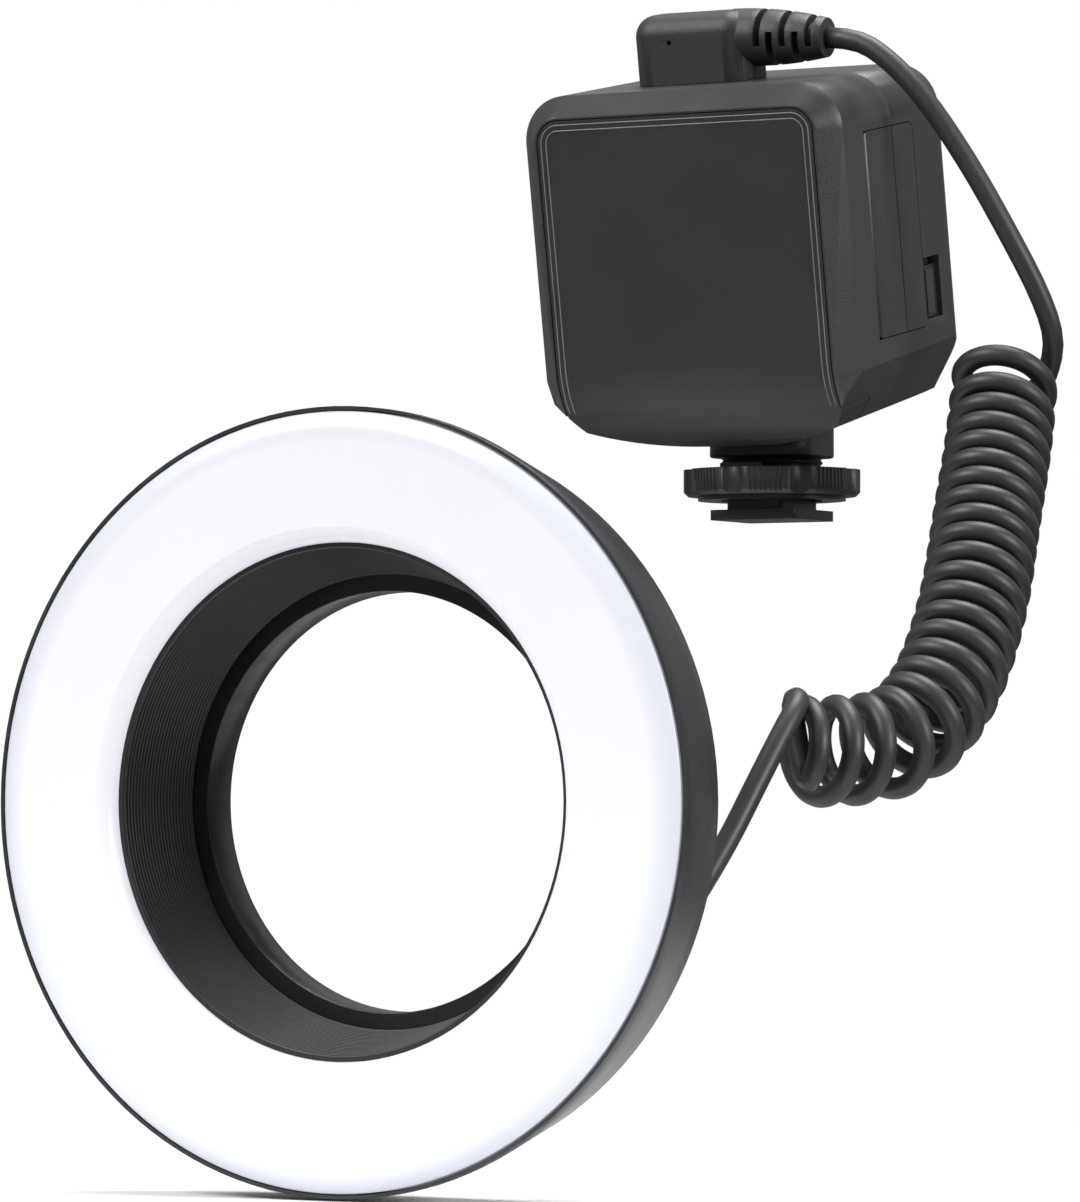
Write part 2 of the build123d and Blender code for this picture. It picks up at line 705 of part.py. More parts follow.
# Main board and what stands on it
board_back = BOARD_FRONT + BOARD_THICK
board = block((-board_width / 2, board_width / 2), (BOARD_FRONT, board_back), (BOARD_LOW, board_top))
board = board - [rod_y(SCREW_RADIUS, x, z, BOARD_FRONT, board_back) for x, z in board_posts]
save("main_board", board, CONTROLLER)
save(
    "board_screws",
    [screw_y(x, z, BOARD_FRONT - SCREW_HEAD_THICK, board_back + SCREW_BITE) for x, z in board_posts],
    CONTROLLER,
)
save(
    "housing_screws",
    [screw_y(x, z, screw_head_face, screw_tip) for x, z in corner_screws],
    CONTROLLER,
)
window_front = BODY_BACK - WINDOW_THICK
display_window = along_y(
    Pos(0, display_middle) * RectangleRounded(display_width, display_height, WINDOW_CORNER),
    window_front,
    BODY_BACK,
)
save("display_window", display_window, CONTROLLER)
save(
    "display_module",
    block(
        (-display_width / 2 + DISPLAY_LIP + CLEAR, display_width / 2 - DISPLAY_LIP - CLEAR),
        (board_back, window_front - CLEAR),
        (
            display_middle - display_height / 2 + DISPLAY_LIP + WINDOW_CORNER,
            display_middle + display_height / 2 - DISPLAY_LIP - WINDOW_CORNER,
        ),
    )
    & block(
        (-board_width, board_width),
        (board_back, BODY_BACK),
        (BOARD_LOW, board_top),
    ),
    CONTROLLER,
)

# Dial on its encoder, with the set button inside it
dial_top = BODY_BACK + DIAL_PROUD
dial_bottom = dial_top - DIAL_HEIGHT
encoder_top = board_back + ENCODER_THICK
post_inner = DIAL_POST_RADIUS - DIAL_POST_WALL


def make_dial():
    """Ribbed dial with a bored hub."""
    dial = rod_y(DIAL_RADIUS, 0, DIAL_MIDDLE, dial_bottom, dial_top)
    dial = fillet(dial.faces().sort_by(Axis.Y)[-1].edges(), DIAL_RIB_DEPTH)
    grooves = []
    for step in range(DIAL_RIBS):
        angle = 2 * math.pi * step / DIAL_RIBS
        x = DIAL_RADIUS * math.cos(angle)
        z = DIAL_MIDDLE + DIAL_RADIUS * math.sin(angle)
        grooves.append(rod_y(DIAL_RIB_DEPTH, x, z, BODY_BACK, dial_top))
    hub_bore = rod_y(DIAL_POST_RADIUS + RUN_CLEAR, 0, DIAL_MIDDLE, dial_bottom, dial_top)
    return dial - grooves - hub_bore


encoder = block(
    (-ENCODER_SIZE / 2, ENCODER_SIZE / 2),
    (board_back, encoder_top),
    (DIAL_MIDDLE - ENCODER_SIZE / 2, DIAL_MIDDLE + ENCODER_SIZE / 2),
)
encoder = encoder + rod_y(DIAL_POST_RADIUS, 0, DIAL_MIDDLE, encoder_top, dial_top - BUTTON_PROUD)
encoder = encoder - rod_y(post_inner, 0, DIAL_MIDDLE, encoder_top, dial_top)
save("control_dial", make_dial(), CONTROLLER)
save("dial_encoder", encoder, CONTROLLER)
set_button = rod_y(
    post_inner - BUTTON_SINK, 0, DIAL_MIDDLE, encoder_top + BUTTON_TRAVEL + CLEAR, dial_top
)
save("set_button", fillet(set_button.faces().sort_by(Axis.Y)[-1].edges(), DIAL_RIB_DEPTH), CONTROLLER)

# Mode buttons, each over its own tact switch
tact_top = board_back + TACT_SIZE
tact_blocks = []
mode_names = ("mode_button_lower", "mode_button_upper")
for step, name in enumerate(mode_names):
    z = MODE_LOW_Z + step * MODE_PITCH
    cap = along_y(
        Pos(-controls_x, z) * RectangleRounded(MODE_WIDTH, MODE_HEIGHT, WINDOW_CORNER - BUTTON_SINK),
        inner_back - CLEAR,
        BODY_BACK + BUTTON_PROUD,
    )
    cap = fillet(cap.faces().sort_by(Axis.Y)[-1].edges(), BUTTON_SINK)
    flange = block(
        (-controls_x - MODE_WIDTH / 2 - BUTTON_FLANGE, -controls_x + MODE_WIDTH / 2 + BUTTON_FLANGE),
        (inner_back - CLEAR - BUTTON_FLANGE, inner_back - CLEAR),
        (z - MODE_HEIGHT / 2 - BUTTON_FLANGE, z + MODE_HEIGHT / 2 + BUTTON_FLANGE),
    )
    stem = rod_y(
        TACT_SIZE / 4, -controls_x, z, tact_top + BUTTON_TRAVEL + CLEAR, inner_back - CLEAR - BUTTON_FLANGE
    )
    save(name, cap + flange + stem, CONTROLLER)
    tact_blocks.append(
        block(
            (-controls_x - TACT_SIZE / 2, -controls_x + TACT_SIZE / 2),
            (board_back, tact_top),
            (z - TACT_SIZE / 2, z + TACT_SIZE / 2),
        )
    )
save("tact_switches", tact_blocks, CONTROLLER)

# Power switch: a sliding tab, at its lower stop
switch_low = DIAL_MIDDLE - (SWITCH_LENGTH + SWITCH_TRAVEL) / 2
switch_tab = block(
    (controls_x - SWITCH_WIDTH / 2, controls_x + SWITCH_WIDTH / 2),
    (inner_back - CLEAR, BODY_BACK + SWITCH_PROUD),
    (switch_low, switch_low + SWITCH_LENGTH),
)
switch_back = block(
    (controls_x - SWITCH_WIDTH / 2 - BUTTON_FLANGE, controls_x + SWITCH_WIDTH / 2),
    (inner_back - CLEAR - BUTTON_FLANGE, inner_back - CLEAR),
    (switch_low - BUTTON_FLANGE, switch_low + SWITCH_LENGTH + BUTTON_FLANGE),
)
switch_grips = [
    block(
        (controls_x - SWITCH_WIDTH, controls_x + SWITCH_WIDTH),
        (BODY_BACK + SWITCH_PROUD - BUTTON_SINK, BODY_BACK + OVERRUN),
        (z - SCREW_SLOT / 2, z + SCREW_SLOT / 2),
    )
    for z in [switch_low + SWITCH_LENGTH * step / 4 for step in (1, 2, 3)]
]
save("power_switch", switch_tab + switch_back - switch_grips, CONTROLLER)
save(
    "switch_base",
    block(
        (controls_x - SWITCH_WIDTH / 2 - BUTTON_FLANGE, board_width / 2),
        (board_back, inner_back - CLEAR * 2 - BUTTON_FLANGE),
        (switch_low, switch_low + SWITCH_LENGTH + SWITCH_TRAVEL),
    ),
    CONTROLLER,
)

# Plug, its jack and the socket
plug_middle_x = (PLUG_LEFT + PLUG_RIGHT) / 2
relief_start = PLUG_RIGHT - PLUG_CORNER
relief_length = (RELIEF_END - relief_start) / math.cos(math.radians(RELIEF_DROOP))
relief_way = Vector(math.cos(math.radians(RELIEF_DROOP)), 0, -math.sin(math.radians(RELIEF_DROOP)))
relief_drop = (RELIEF_END - relief_start) * math.tan(math.radians(RELIEF_DROOP))
relief_place = Location((relief_start, PLUG_MIDDLE_Y, plug_base + RELIEF_AXIS))
relief_place = relief_place * Location((0, 0, 0), (0, 90 + RELIEF_DROOP, 0))
plug_low = plug_base + PLUG_SEAM


def make_plug():
    """Right-angle moulded plug with a tapered, slotted strain relief."""
    outline = RectangleRounded(PLUG_RIGHT - PLUG_LEFT, PLUG_DEPTH, PLUG_CORNER)
    body = along_z(Pos(plug_middle_x, PLUG_MIDDLE_Y) * outline, plug_low, plug_low + PLUG_HEIGHT)
    body = fillet(body.faces().sort_by(Axis.Z)[-1].edges(), PLUG_SHOULDER)
    middle_radius = (RELIEF_BIG_RADIUS + RELIEF_SMALL_RADIUS) / 2 + RELIEF_BULGE
    profile = [
        Line((0, 0), (RELIEF_BIG_RADIUS, 0)),
        ThreePointArc(
            (RELIEF_BIG_RADIUS, 0), (middle_radius, relief_length / 2), (RELIEF_SMALL_RADIUS, relief_length)
        ),
        Line((RELIEF_SMALL_RADIUS, relief_length), (0, relief_length)),
        Line((0, relief_length), (0, 0)),
    ]
    relief = revolve(Plane.XZ * make_face(Curve() + profile), axis=Axis.Z)
    relief = relief_place * relief
    slots = [relief_slot(step * RELIEF_SLOT_PITCH, 1) for step in range(RELIEF_TOP_SLOTS)]
    slots += [relief_slot((step + 1 / 2) * RELIEF_SLOT_PITCH, -1) for step in range(RELIEF_LOW_SLOTS)]
    pin_hole = rod_y(
        PLUG_PIN_HOLE,
        SOCKET_X,
        plug_base + RELIEF_AXIS,
        PLUG_MIDDLE_Y - PLUG_DEPTH / 2 - OVERRUN,
        PLUG_MIDDLE_Y - PLUG_DEPTH / 2 + PLUG_PIN_HOLE * 2,
    )
    return body + relief - slots - pin_hole


def relief_slot(place, side):
    """A slot round the strain relief, over its top or under its bottom and a little past its middle."""
    start = RELIEF_SLOT_START + place
    core = CORD_DIAMETER / 2 + RELIEF_CORE_WALL
    reach = RELIEF_BIG_RADIUS + OVERRUN
    ring = along_z(Circle(reach) - Circle(core), start, start + RELIEF_SLOT)
    kept = block(sorted((side * core / 2, -side * reach)), (-reach, reach), (start, start + RELIEF_SLOT))
    return relief_place * (ring & kept)


plug = make_plug()
save("cord_plug", plug, CONTROLLER)
jack = Pos(SOCKET_X, PLUG_MIDDLE_Y, 0) * along_z(Circle(JACK_RADIUS), plug_low - JACK_LENGTH, plug_low)
save("plug_jack", jack, CONTROLLER)
socket = Pos(SOCKET_X, PLUG_MIDDLE_Y, 0) * (
    along_z(Circle(SOCKET_RADIUS), BODY_HEIGHT - SOCKET_DEPTH, BODY_HEIGHT)
    + along_z(Circle(SOCKET_RADIUS + SOCKET_FLANGE), BODY_HEIGHT - WALL - SOCKET_FLANGE, BODY_HEIGHT - WALL)
    - along_z(Circle(JACK_RADIUS + RUN_CLEAR), plug_low - JACK_LENGTH - CLEAR, BODY_HEIGHT)
)
save("plug_socket", socket, CONTROLLER)


# Neck, foot and lock wheel


def make_neck():
    """Rounded block between the stem and the body's curved bottom."""
    blank = along_z(RectangleRounded(NECK_WIDTH, NECK_DEPTH, NECK_CORNER), NECK_LOW, BODY_LIFT + OVERRUN)
    neck = blank - CONTROLLER * outer
    neck = neck.solids().sort_by(Axis.Z)[0]
    return neck - [CONTROLLER * hole for hole in neck_screw_holes]


def neck_screw(x, y):
    """A screw from the body's floor down into the neck."""
    floor_z = WALL + (y - BODY_FRONT - BODY_UNDER_RADIUS) * BODY_UNDER_RISE / (
        BODY_BACK - BODY_FRONT - BODY_UNDER_RADIUS
    )
    crown_share = (NECK_SCREW_X + SCREW_HEAD_RADIUS) / (side_x - WALL)
    head_low = floor_z + BODY_CROWN * crown_share**2 + CLEAR
    shape = along_z(Circle(SCREW_HEAD_RADIUS), head_low, head_low + SCREW_HEAD_THICK)
    shape = shape + along_z(Circle(SCREW_RADIUS), -BODY_CROWN / 4, head_low)
    return Pos(x, y, 0) * shape


def make_foot():
    """Shoe foot, web and threaded stem in one piece."""
    foot = along_z(RectangleRounded(FOOT_WIDTH, FOOT_LENGTH, FOOT_CORNER), 0, FOOT_THICK)
    web = along_z(RectangleRounded(WEB_WIDTH, WEB_LENGTH, FOOT_CORNER), FOOT_THICK, STEM_LOW)
    stem = along_z(Circle(STEM_RADIUS), STEM_LOW, NECK_LOW)
    grooves = []
    for turn in range(THREAD_TURNS):
        z = NECK_LOW - THREAD_PITCH * (turn + 0.5)
        groove = Polyline(
            (STEM_RADIUS, z - THREAD_DEPTH),
            (STEM_RADIUS - THREAD_DEPTH, z),
            (STEM_RADIUS, z + THREAD_DEPTH),
            close=True,
        )
        grooves.append(revolve(Plane.XZ * make_face(groove), axis=Axis.Z))
    return foot + web + (stem - grooves)


wheel_low = CLAMP_LOW + CLAMP_THICK + RUN_CLEAR


def make_wheel():
    """Lobed lock wheel: smooth scallops between groups of fine ribs."""
    wheel = along_z(Circle(WHEEL_RADIUS), wheel_low, wheel_low + WHEEL_THICK)
    wheel = chamfer(wheel.faces().sort_by(Axis.Z)[0].edges(), WHEEL_CHAMFER)
    lobe_angle = 2 * math.pi / WHEEL_LOBES
    scallop_radius = WHEEL_RADIUS * math.sin(lobe_angle / 4)
    cuts = []
    for lobe in range(WHEEL_LOBES):
        middle = lobe_angle * lobe
        reach = WHEEL_RADIUS - WHEEL_LOBE_DEPTH + scallop_radius
        cuts.append(Pos(reach * math.cos(middle), reach * math.sin(middle)) * Circle(scallop_radius))
        for rib in range(WHEEL_RIBS):
            share = (rib - (WHEEL_RIBS - 1) / 2) / WHEEL_RIBS
            angle = middle + lobe_angle / 2 + share * lobe_angle / 2
            place = Pos(WHEEL_RADIUS * math.cos(angle), WHEEL_RADIUS * math.sin(angle))
            cuts.append(place * Circle(WHEEL_RIB_RADIUS))
    wheel = wheel - along_z(Sketch() + cuts, wheel_low, wheel_low + WHEEL_THICK)
    bore = along_z(Circle(STEM_RADIUS + RUN_CLEAR), wheel_low, wheel_low + WHEEL_THICK)
    lug_front = -(STEM_RADIUS + RUN_CLEAR + CLEAR)
    lug = Polyline(
        (-WHEEL_LUG_WIDTH / 2, lug_front - WHEEL_LUG_DEPTH),
        (WHEEL_LUG_WIDTH / 2, lug_front - WHEEL_LUG_DEPTH),
        (WHEEL_LUG_WIDTH / 4, lug_front),
        (-WHEEL_LUG_WIDTH / 4, lug_front),
        close=True,
    )
    top = wheel_low + WHEEL_THICK
    return wheel + along_z(make_face(lug), top, top + WHEEL_LUG_HEIGHT) - bore


clamp_face = Circle(CLAMP_RADIUS) - Circle(STEM_RADIUS + RUN_CLEAR)
clamp = along_z(clamp_face, CLAMP_LOW, CLAMP_LOW + CLAMP_THICK)
save("neck_block", make_neck())
save("neck_screws", [neck_screw(x, y) for x, y in neck_screws], CONTROLLER)
save("shoe_foot", make_foot())
save("clamp_plate", clamp)
save("lock_wheel", make_wheel())


# Ring head


def rim_radius(depth):
    """The rim's outer radius at a depth behind its lip."""
    slope = (rim_front_radius - rim_back_radius) / (RIM_DEPTH - RIM_LIP_DEPTH)
    return rim_front_radius - max(0, depth - RIM_LIP_DEPTH) * slope


pocket_radius = rim_front_radius - RIM_LIP
inner_back_radius = rim_back_radius - RIM_WALL
shelf_front = RIM_DEPTH - SHELF_DEPTH
shelf_inner = inner_back_radius - SHELF_REACH
ledge_radius = rim_radius(RIM_LEDGE) - RIM_WALL
cover_screw_radius = inner_back_radius - COVER_SCREW_INSET
cover_rib_radius = shelf_inner - COVER_RIB_GAP - COVER_RIB_WALL
screw_places = [
    (
        cover_screw_radius * math.cos(math.radians(angle)),
        cover_screw_radius * math.sin(math.radians(angle)),
    )
    for angle in [COVER_SCREW_ANGLE + 360 * step / COVER_SCREWS for step in range(COVER_SCREWS)]
]
cover_back = RIM_DEPTH + COVER_THICK


def make_ring_housing():
    """Tapered rim with the diffuser's pocket in front and a shelf for the cover behind."""
    shell = turned(
        (pocket_radius, 0),
        (rim_front_radius, 0),
        (rim_front_radius, RIM_LIP_DEPTH),
        (rim_back_radius, RIM_DEPTH),
        (shelf_inner, RIM_DEPTH),
        (shelf_inner, shelf_front),
        (rim_radius(shelf_front) - RIM_WALL, shelf_front),
        (ledge_radius, RIM_LEDGE),
        (pocket_radius, RIM_LEDGE),
    )
    return shell - [
        rod_y(SCREW_RADIUS, x, z, RIM_DEPTH - COVER_SCREW_LENGTH, RIM_DEPTH) for x, z in screw_places
    ]


def make_diffuser():
    """Ring-shaped diffuser: a flat front, a rolled shoulder outside and a small roll inside."""
    out = pocket_radius - DIFFUSER_GAP
    inn = sleeve_front_radius + SLEEVE_LIP_WALL + RUN_CLEAR
    front = -DIFFUSER_RISE
    foot = RIM_LEDGE
    wall = DIFFUSER_THICK
    inner_corner = inn + DIFFUSER_INNER_ROUND + wall / 2
    shoulder_mid = (out - DIFFUSER_SHOULDER * DIFFUSER_ROLL_SHARE, front / 2)
    roll_mid = (inn + DIFFUSER_INNER_ROUND * DIFFUSER_ROLL_SHARE, (front + SLEEVE_LIP_DEPTH) / 4)
    outline = [
        ThreePointArc((out, 0), shoulder_mid, (out - DIFFUSER_SHOULDER, front)),
        Line((out - DIFFUSER_SHOULDER, front), (inn + DIFFUSER_INNER_ROUND, front)),
        ThreePointArc((inn + DIFFUSER_INNER_ROUND, front), roll_mid, (inn, SLEEVE_LIP_DEPTH)),
        Line((inn, SLEEVE_LIP_DEPTH), (inn, foot)),
        Line((inn, foot), (inn + wall, foot)),
        Line((inn + wall, foot), (inner_corner, front + wall)),
        Line((inner_corner, front + wall), (out - DIFFUSER_SHOULDER, front + wall)),
        Line((out - DIFFUSER_SHOULDER, front + wall), (out - wall, foot)),
        Line((out - wall, foot), (out, foot)),
        Line((out, foot), (out, 0)),
    ]
    return revolve(make_face(Curve() + outline), axis=Axis.Y)


def make_sleeve():
    """Cone-shaped inner sleeve with fine rings all down its bore."""
    length = SLEEVE_BACK - SLEEVE_LIP_DEPTH
    pitch = length / (SLEEVE_RIDGES + 1)
    slope = (sleeve_front_radius - sleeve_back_radius) / length
    points = [(sleeve_front_radius, SLEEVE_LIP_DEPTH)]
    for ridge in range(SLEEVE_RIDGES):
        depth = SLEEVE_LIP_DEPTH + pitch * (ridge + 1)
        radius = sleeve_front_radius - slope * (depth - SLEEVE_LIP_DEPTH)
        points.append((radius, depth - pitch / 4))
        points.append((radius + SLEEVE_RIDGE_DEPTH, depth))
    outer_lip = sleeve_front_radius + SLEEVE_LIP_WALL
    points += [
        (sleeve_back_radius, SLEEVE_BACK),
        (sleeve_back_radius + SLEEVE_WALL, SLEEVE_BACK),
        (outer_lip, SLEEVE_LIP_DEPTH + SLEEVE_LIP_LENGTH),
        (outer_lip, SLEEVE_LIP_DEPTH),
    ]
    return turned(*points)


tray_front = shelf_front - TRAY_DEPTH
tray_outer = min(rim_radius(tray_front), rim_radius(shelf_front)) - RIM_WALL - CLEAR
tray_inner = sleeve_front_radius + SLEEVE_LIP_WALL + DIFFUSER_THICK
led_space = (tray_inner + TRAY_SIDE, tray_outer - TRAY_SIDE)
board_front = shelf_front - TRAY_FLOOR - LED_BOARD_THICK


def make_light_tray():
    """White channel behind the diffuser."""
    return turned(
        (tray_inner, tray_front),
        (tray_inner + TRAY_SIDE, tray_front),
        (tray_inner + TRAY_SIDE, shelf_front - TRAY_FLOOR),
        (tray_outer - TRAY_SIDE, shelf_front - TRAY_FLOOR),
        (tray_outer - TRAY_SIDE, tray_front),
        (tray_outer, tray_front),
        (tray_outer, shelf_front),
        (tray_inner, shelf_front),
    )


def make_led_board():
    """Ring-shaped board on the tray's floor."""
    return turned(
        (tray_inner + TRAY_SIDE + CLEAR, board_front),
        (tray_outer - TRAY_SIDE - CLEAR, board_front),
        (tray_outer - TRAY_SIDE - CLEAR, board_front + LED_BOARD_THICK),
        (tray_inner + TRAY_SIDE + CLEAR, board_front + LED_BOARD_THICK),
    )


def make_leds():
    """Two circles of square LEDs."""
    leds = []
    for row, share in enumerate(LED_ROW_SHARES):
        radius = led_space[0] + share * (led_space[1] - led_space[0])
        for step in range(LEDS_PER_RING):
            angle = 360 * (step + row / 2) / LEDS_PER_RING
            led = block(
                (radius - LED_SIZE / 2, radius + LED_SIZE / 2),
                (board_front - LED_HEIGHT, board_front),
                (-LED_SIZE / 2, LED_SIZE / 2),
            )
            leds.append(Rot(0, angle, 0) * led)
    return leds


gland_way = Vector(
    math.sin(math.radians(GLAND_TILT)) * math.cos(math.radians(GLAND_TURN)),
    math.cos(math.radians(GLAND_TILT)),
    math.sin(math.radians(GLAND_TILT)) * math.sin(math.radians(GLAND_TURN)),
)
catch_inner = adapter_radius + CATCH_GAP
catch_length = CATCH_LENGTH_SHARE * (cover_rib_radius - catch_inner)
catch_outer = catch_inner + catch_length
catch_sides = {"catch_right": 0, "catch_left": 180}
gland_radius = cover_rib_radius - GLAND_BASE_RADIUS - GLAND_RIB_GAP
gland_x = gland_radius * math.cos(math.radians(GLAND_ANGLE))
gland_z = gland_radius * math.sin(math.radians(GLAND_ANGLE))
gland_bend_middle = Vector(gland_x, cover_back + GLAND_COLLAR, gland_z)
gland_bend = Location(
    Plane(origin=gland_bend_middle, x_dir=gland_way.cross(Vector(0, 0, 1)), z_dir=gland_way)
) * Location((0, 0, 0), (90, 0, 0))
catch_plate_back = RIM_DEPTH - RUN_CLEAR


def make_rear_cover():
    """Flat ring behind the housing, with a stiffening rib and slots for the catches."""
    cover = turned(
        (cover_hole_radius, RIM_DEPTH),
        (rim_back_radius, RIM_DEPTH),
        (rim_back_radius - COVER_THICK, cover_back),
        (cover_hole_radius, cover_back),
    )
    rib = turned(
        (cover_rib_radius, RIM_DEPTH - COVER_RIB_DEPTH),
        (cover_rib_radius + COVER_RIB_WALL, RIM_DEPTH - COVER_RIB_DEPTH),
        (cover_rib_radius + COVER_RIB_WALL, RIM_DEPTH),
        (cover_rib_radius, RIM_DEPTH),
    )
    slot = block(
        (cover_hole_radius - OVERRUN, catch_outer + CATCH_TRAVEL + CLEAR),
        (RIM_DEPTH - RUN_CLEAR, cover_back + OVERRUN),
        (-CATCH_WIDTH / 2 - CLEAR, CATCH_WIDTH / 2 + CLEAR),
    )
    cover = cover + rib - [Rot(0, turn, 0) * slot for turn in catch_sides.values()]
    cover = cover - rod_y(GLAND_NECK_RADIUS, gland_x, gland_z, RIM_DEPTH, cover_back)
    cover = cover - [rod_y(SCREW_RADIUS, x, z, RIM_DEPTH, cover_back) for x, z in screw_places]
    sink = cover_back - SCREW_HEAD_THICK
    return cover - [rod_y(SCREW_HEAD_RADIUS + CLEAR, x, z, sink, cover_back) for x, z in screw_places]


def make_catch():
    """Sliding catch: a plate inside the cover, a ribbed tab outside and a nose in the adapter's groove."""
    plate_width = CATCH_WIDTH / 2 + CATCH_PLATE_MARGIN
    inner = block(
        (catch_inner, catch_outer),
        (catch_plate_back - CATCH_PLATE, catch_plate_back),
        (-plate_width, plate_width),
    )
    tab = block(
        (catch_inner, catch_outer),
        (catch_plate_back, cover_back + CATCH_PROUD),
        (-CATCH_WIDTH / 2, CATCH_WIDTH / 2),
    )
    nose_front = ADAPTER_FRONT + ADAPTER_GROOVE_START + (ADAPTER_GROOVE_WIDTH - CATCH_NOSE_THICK) / 2
    nose = block(
        (catch_inner - CATCH_NOSE_REACH, catch_inner),
        (nose_front, nose_front + CATCH_NOSE_THICK),
        (-CATCH_NOSE_WIDTH / 2, CATCH_NOSE_WIDTH / 2),
    )
    pitch = catch_length / (CATCH_RIBS + 1)
    ribs = [
        block(
            (catch_inner + pitch * (step + 1) - CATCH_RIB_HEIGHT, catch_inner + pitch * (step + 1)),
            (cover_back + CATCH_PROUD, cover_back + CATCH_PROUD + CATCH_RIB_HEIGHT),
            (-CATCH_WIDTH / 2 + CATCH_RIB_HEIGHT, CATCH_WIDTH / 2 - CATCH_RIB_HEIGHT),
        )
        for step in range(CATCH_RIBS)
    ]
    return inner + tab + nose + ribs


def make_adapter():
    """Adapter ring: a grooved flange in the cover's hole, and the lens thread behind it."""
    back = ADAPTER_FRONT + ADAPTER_FLANGE
    groove_start = ADAPTER_FRONT + ADAPTER_GROOVE_START
    groove_end = groove_start + ADAPTER_GROOVE_WIDTH
    groove_radius = adapter_radius - ADAPTER_GROOVE_DEPTH
    return turned(
        (adapter_bore, ADAPTER_FRONT),
        (adapter_radius, ADAPTER_FRONT),
        (adapter_radius, groove_start),
        (groove_radius, groove_start),
        (groove_radius, groove_end),
        (adapter_radius, groove_end),
        (adapter_radius, back),
        (LENS_THREAD_RADIUS, back),
        (LENS_THREAD_RADIUS, back + LENS_THREAD_LENGTH),
        (adapter_bore, back + LENS_THREAD_LENGTH),
    )


def make_gland():
    """Strain relief: a round collar on the cover, a bend, and a tapered ringed end."""
    base = turned(
        (0, RIM_DEPTH - GLAND_FLANGE),
        (GLAND_BASE_RADIUS, RIM_DEPTH - GLAND_FLANGE),
        (GLAND_BASE_RADIUS, RIM_DEPTH),
        (GLAND_NECK_RADIUS, RIM_DEPTH),
        (GLAND_NECK_RADIUS, cover_back),
        (GLAND_BASE_RADIUS, cover_back),
        (GLAND_BASE_RADIUS, cover_back + GLAND_COLLAR),
        (0, cover_back + GLAND_COLLAR),
    )
    pitch = GLAND_LENGTH / (GLAND_RINGS + 2)
    points = [(0, 0), (GLAND_BASE_RADIUS, 0)]
    for ring in range(GLAND_RINGS):
        depth = pitch * (ring + 2)
        radius = GLAND_BASE_RADIUS - (GLAND_BASE_RADIUS - GLAND_TIP_RADIUS) * depth / GLAND_LENGTH
        points += [
            (radius, depth - GLAND_RING_WIDTH),
            (radius - GLAND_RING_DEPTH, depth - GLAND_RING_WIDTH),
            (radius - GLAND_RING_DEPTH, depth),
            (radius, depth),
        ]
    points += [(GLAND_TIP_RADIUS, GLAND_LENGTH), (0, GLAND_LENGTH)]
    end = turned(*points)
    bend = Sphere(GLAND_BASE_RADIUS)
    return Pos(gland_x, 0, gland_z) * base + gland_bend * (bend + end)


save("ring_housing", make_ring_housing(), RING)
save("ring_diffuser", make_diffuser(), RING)
save("bore_sleeve", make_sleeve(), RING)
save("light_tray", make_light_tray(), RING)
save("led_board", make_led_board(), RING)
save("leds", make_leds(), RING)
save("ring_rear_cover", make_rear_cover(), RING)
save(
    "ring_screws",
    [screw_y(x, z, cover_back, RIM_DEPTH - COVER_SCREW_LENGTH) for x, z in screw_places],
    RING,
)
save("adapter_ring", make_adapter(), RING)
save("cord_gland", make_gland(), RING)
catch = make_catch()
for name, turn in catch_sides.items():
    save(name, Rot(0, turn, 0) * catch, RING)


def spring_coil(radius, wire, length, turns):
    """A compression spring along X, from 0 to length."""
    helix = Helix(pitch=length / turns, height=length, radius=radius)
    section = Plane(origin=helix @ 0, z_dir=helix % 0) * Circle(wire)
    return Rot(0, 90, 0) * sweep(section, path=helix)


spring_length = cover_rib_radius - catch_outer - 4 * CATCH_SPRING_WIRE
spring = spring_coil(CATCH_SPRING_RADIUS, CATCH_SPRING_WIRE, spring_length, CATCH_SPRING_TURNS)
spring_y = catch_plate_back - CATCH_PLATE - CATCH_SPRING_RADIUS / 2
spring = Pos(catch_outer + 2 * CATCH_SPRING_WIRE, spring_y, 0) * spring
save("catch_springs", [Rot(0, turn, 0) * spring for turn in catch_sides.values()], RING)


# Cord: two leads and the curly part


def tube_radii(points):
    """Bend radii as large as the runs beside each corner allow."""
    radii = []
    for before, corner, after in zip(points, points[1:], points[2:]):
        first = Vector(*corner) - Vector(*before)
        second = Vector(*after) - Vector(*corner)
        half_turn = math.radians(first.get_angle(second)) / 2
        radii.append(ARC_SHARE * min(first.length, second.length) / math.tan(half_turn))
    return radii


def lead_tube(name, points):
    """A round tube along straight runs and arcs, and the numbers that show it is sound."""
    radii = tube_radii(points)
    path = FilletPolyline(*points, radius=radii)
    section = Plane(origin=path @ 0, z_dir=path % 0) * Circle(CORD_DIAMETER / 2)
    tube = sweep(section, path=path)
    area = math.pi * CORD_DIAMETER**2 / 4
    print(name, "radii", [round(radius, 1) for radius in radii])
    print(name, "volume over section times length", round(tube.volume / (area * path.length), 4))
    return tube


def route_point(points, share):
    """A point and direction on the smooth curve that a list of control points steers."""
    spans = len(points) - 2
    place = min(share, 1.0) * spans
    span = min(int(place), spans - 1)
    inside = place - span
    controls = [Vector(*point) for point in points[span : span + 3]]
    start = controls[0] if span == 0 else (controls[0] + controls[1]) / 2
    end = controls[2] if span == spans - 1 else (controls[1] + controls[2]) / 2
    middle = controls[1]
    point = start * (1 - inside) ** 2 + middle * (2 * inside * (1 - inside)) + end * inside**2
    slope = (middle - start) * (1 - inside) + (end - middle) * inside
    return point, slope.normalized()


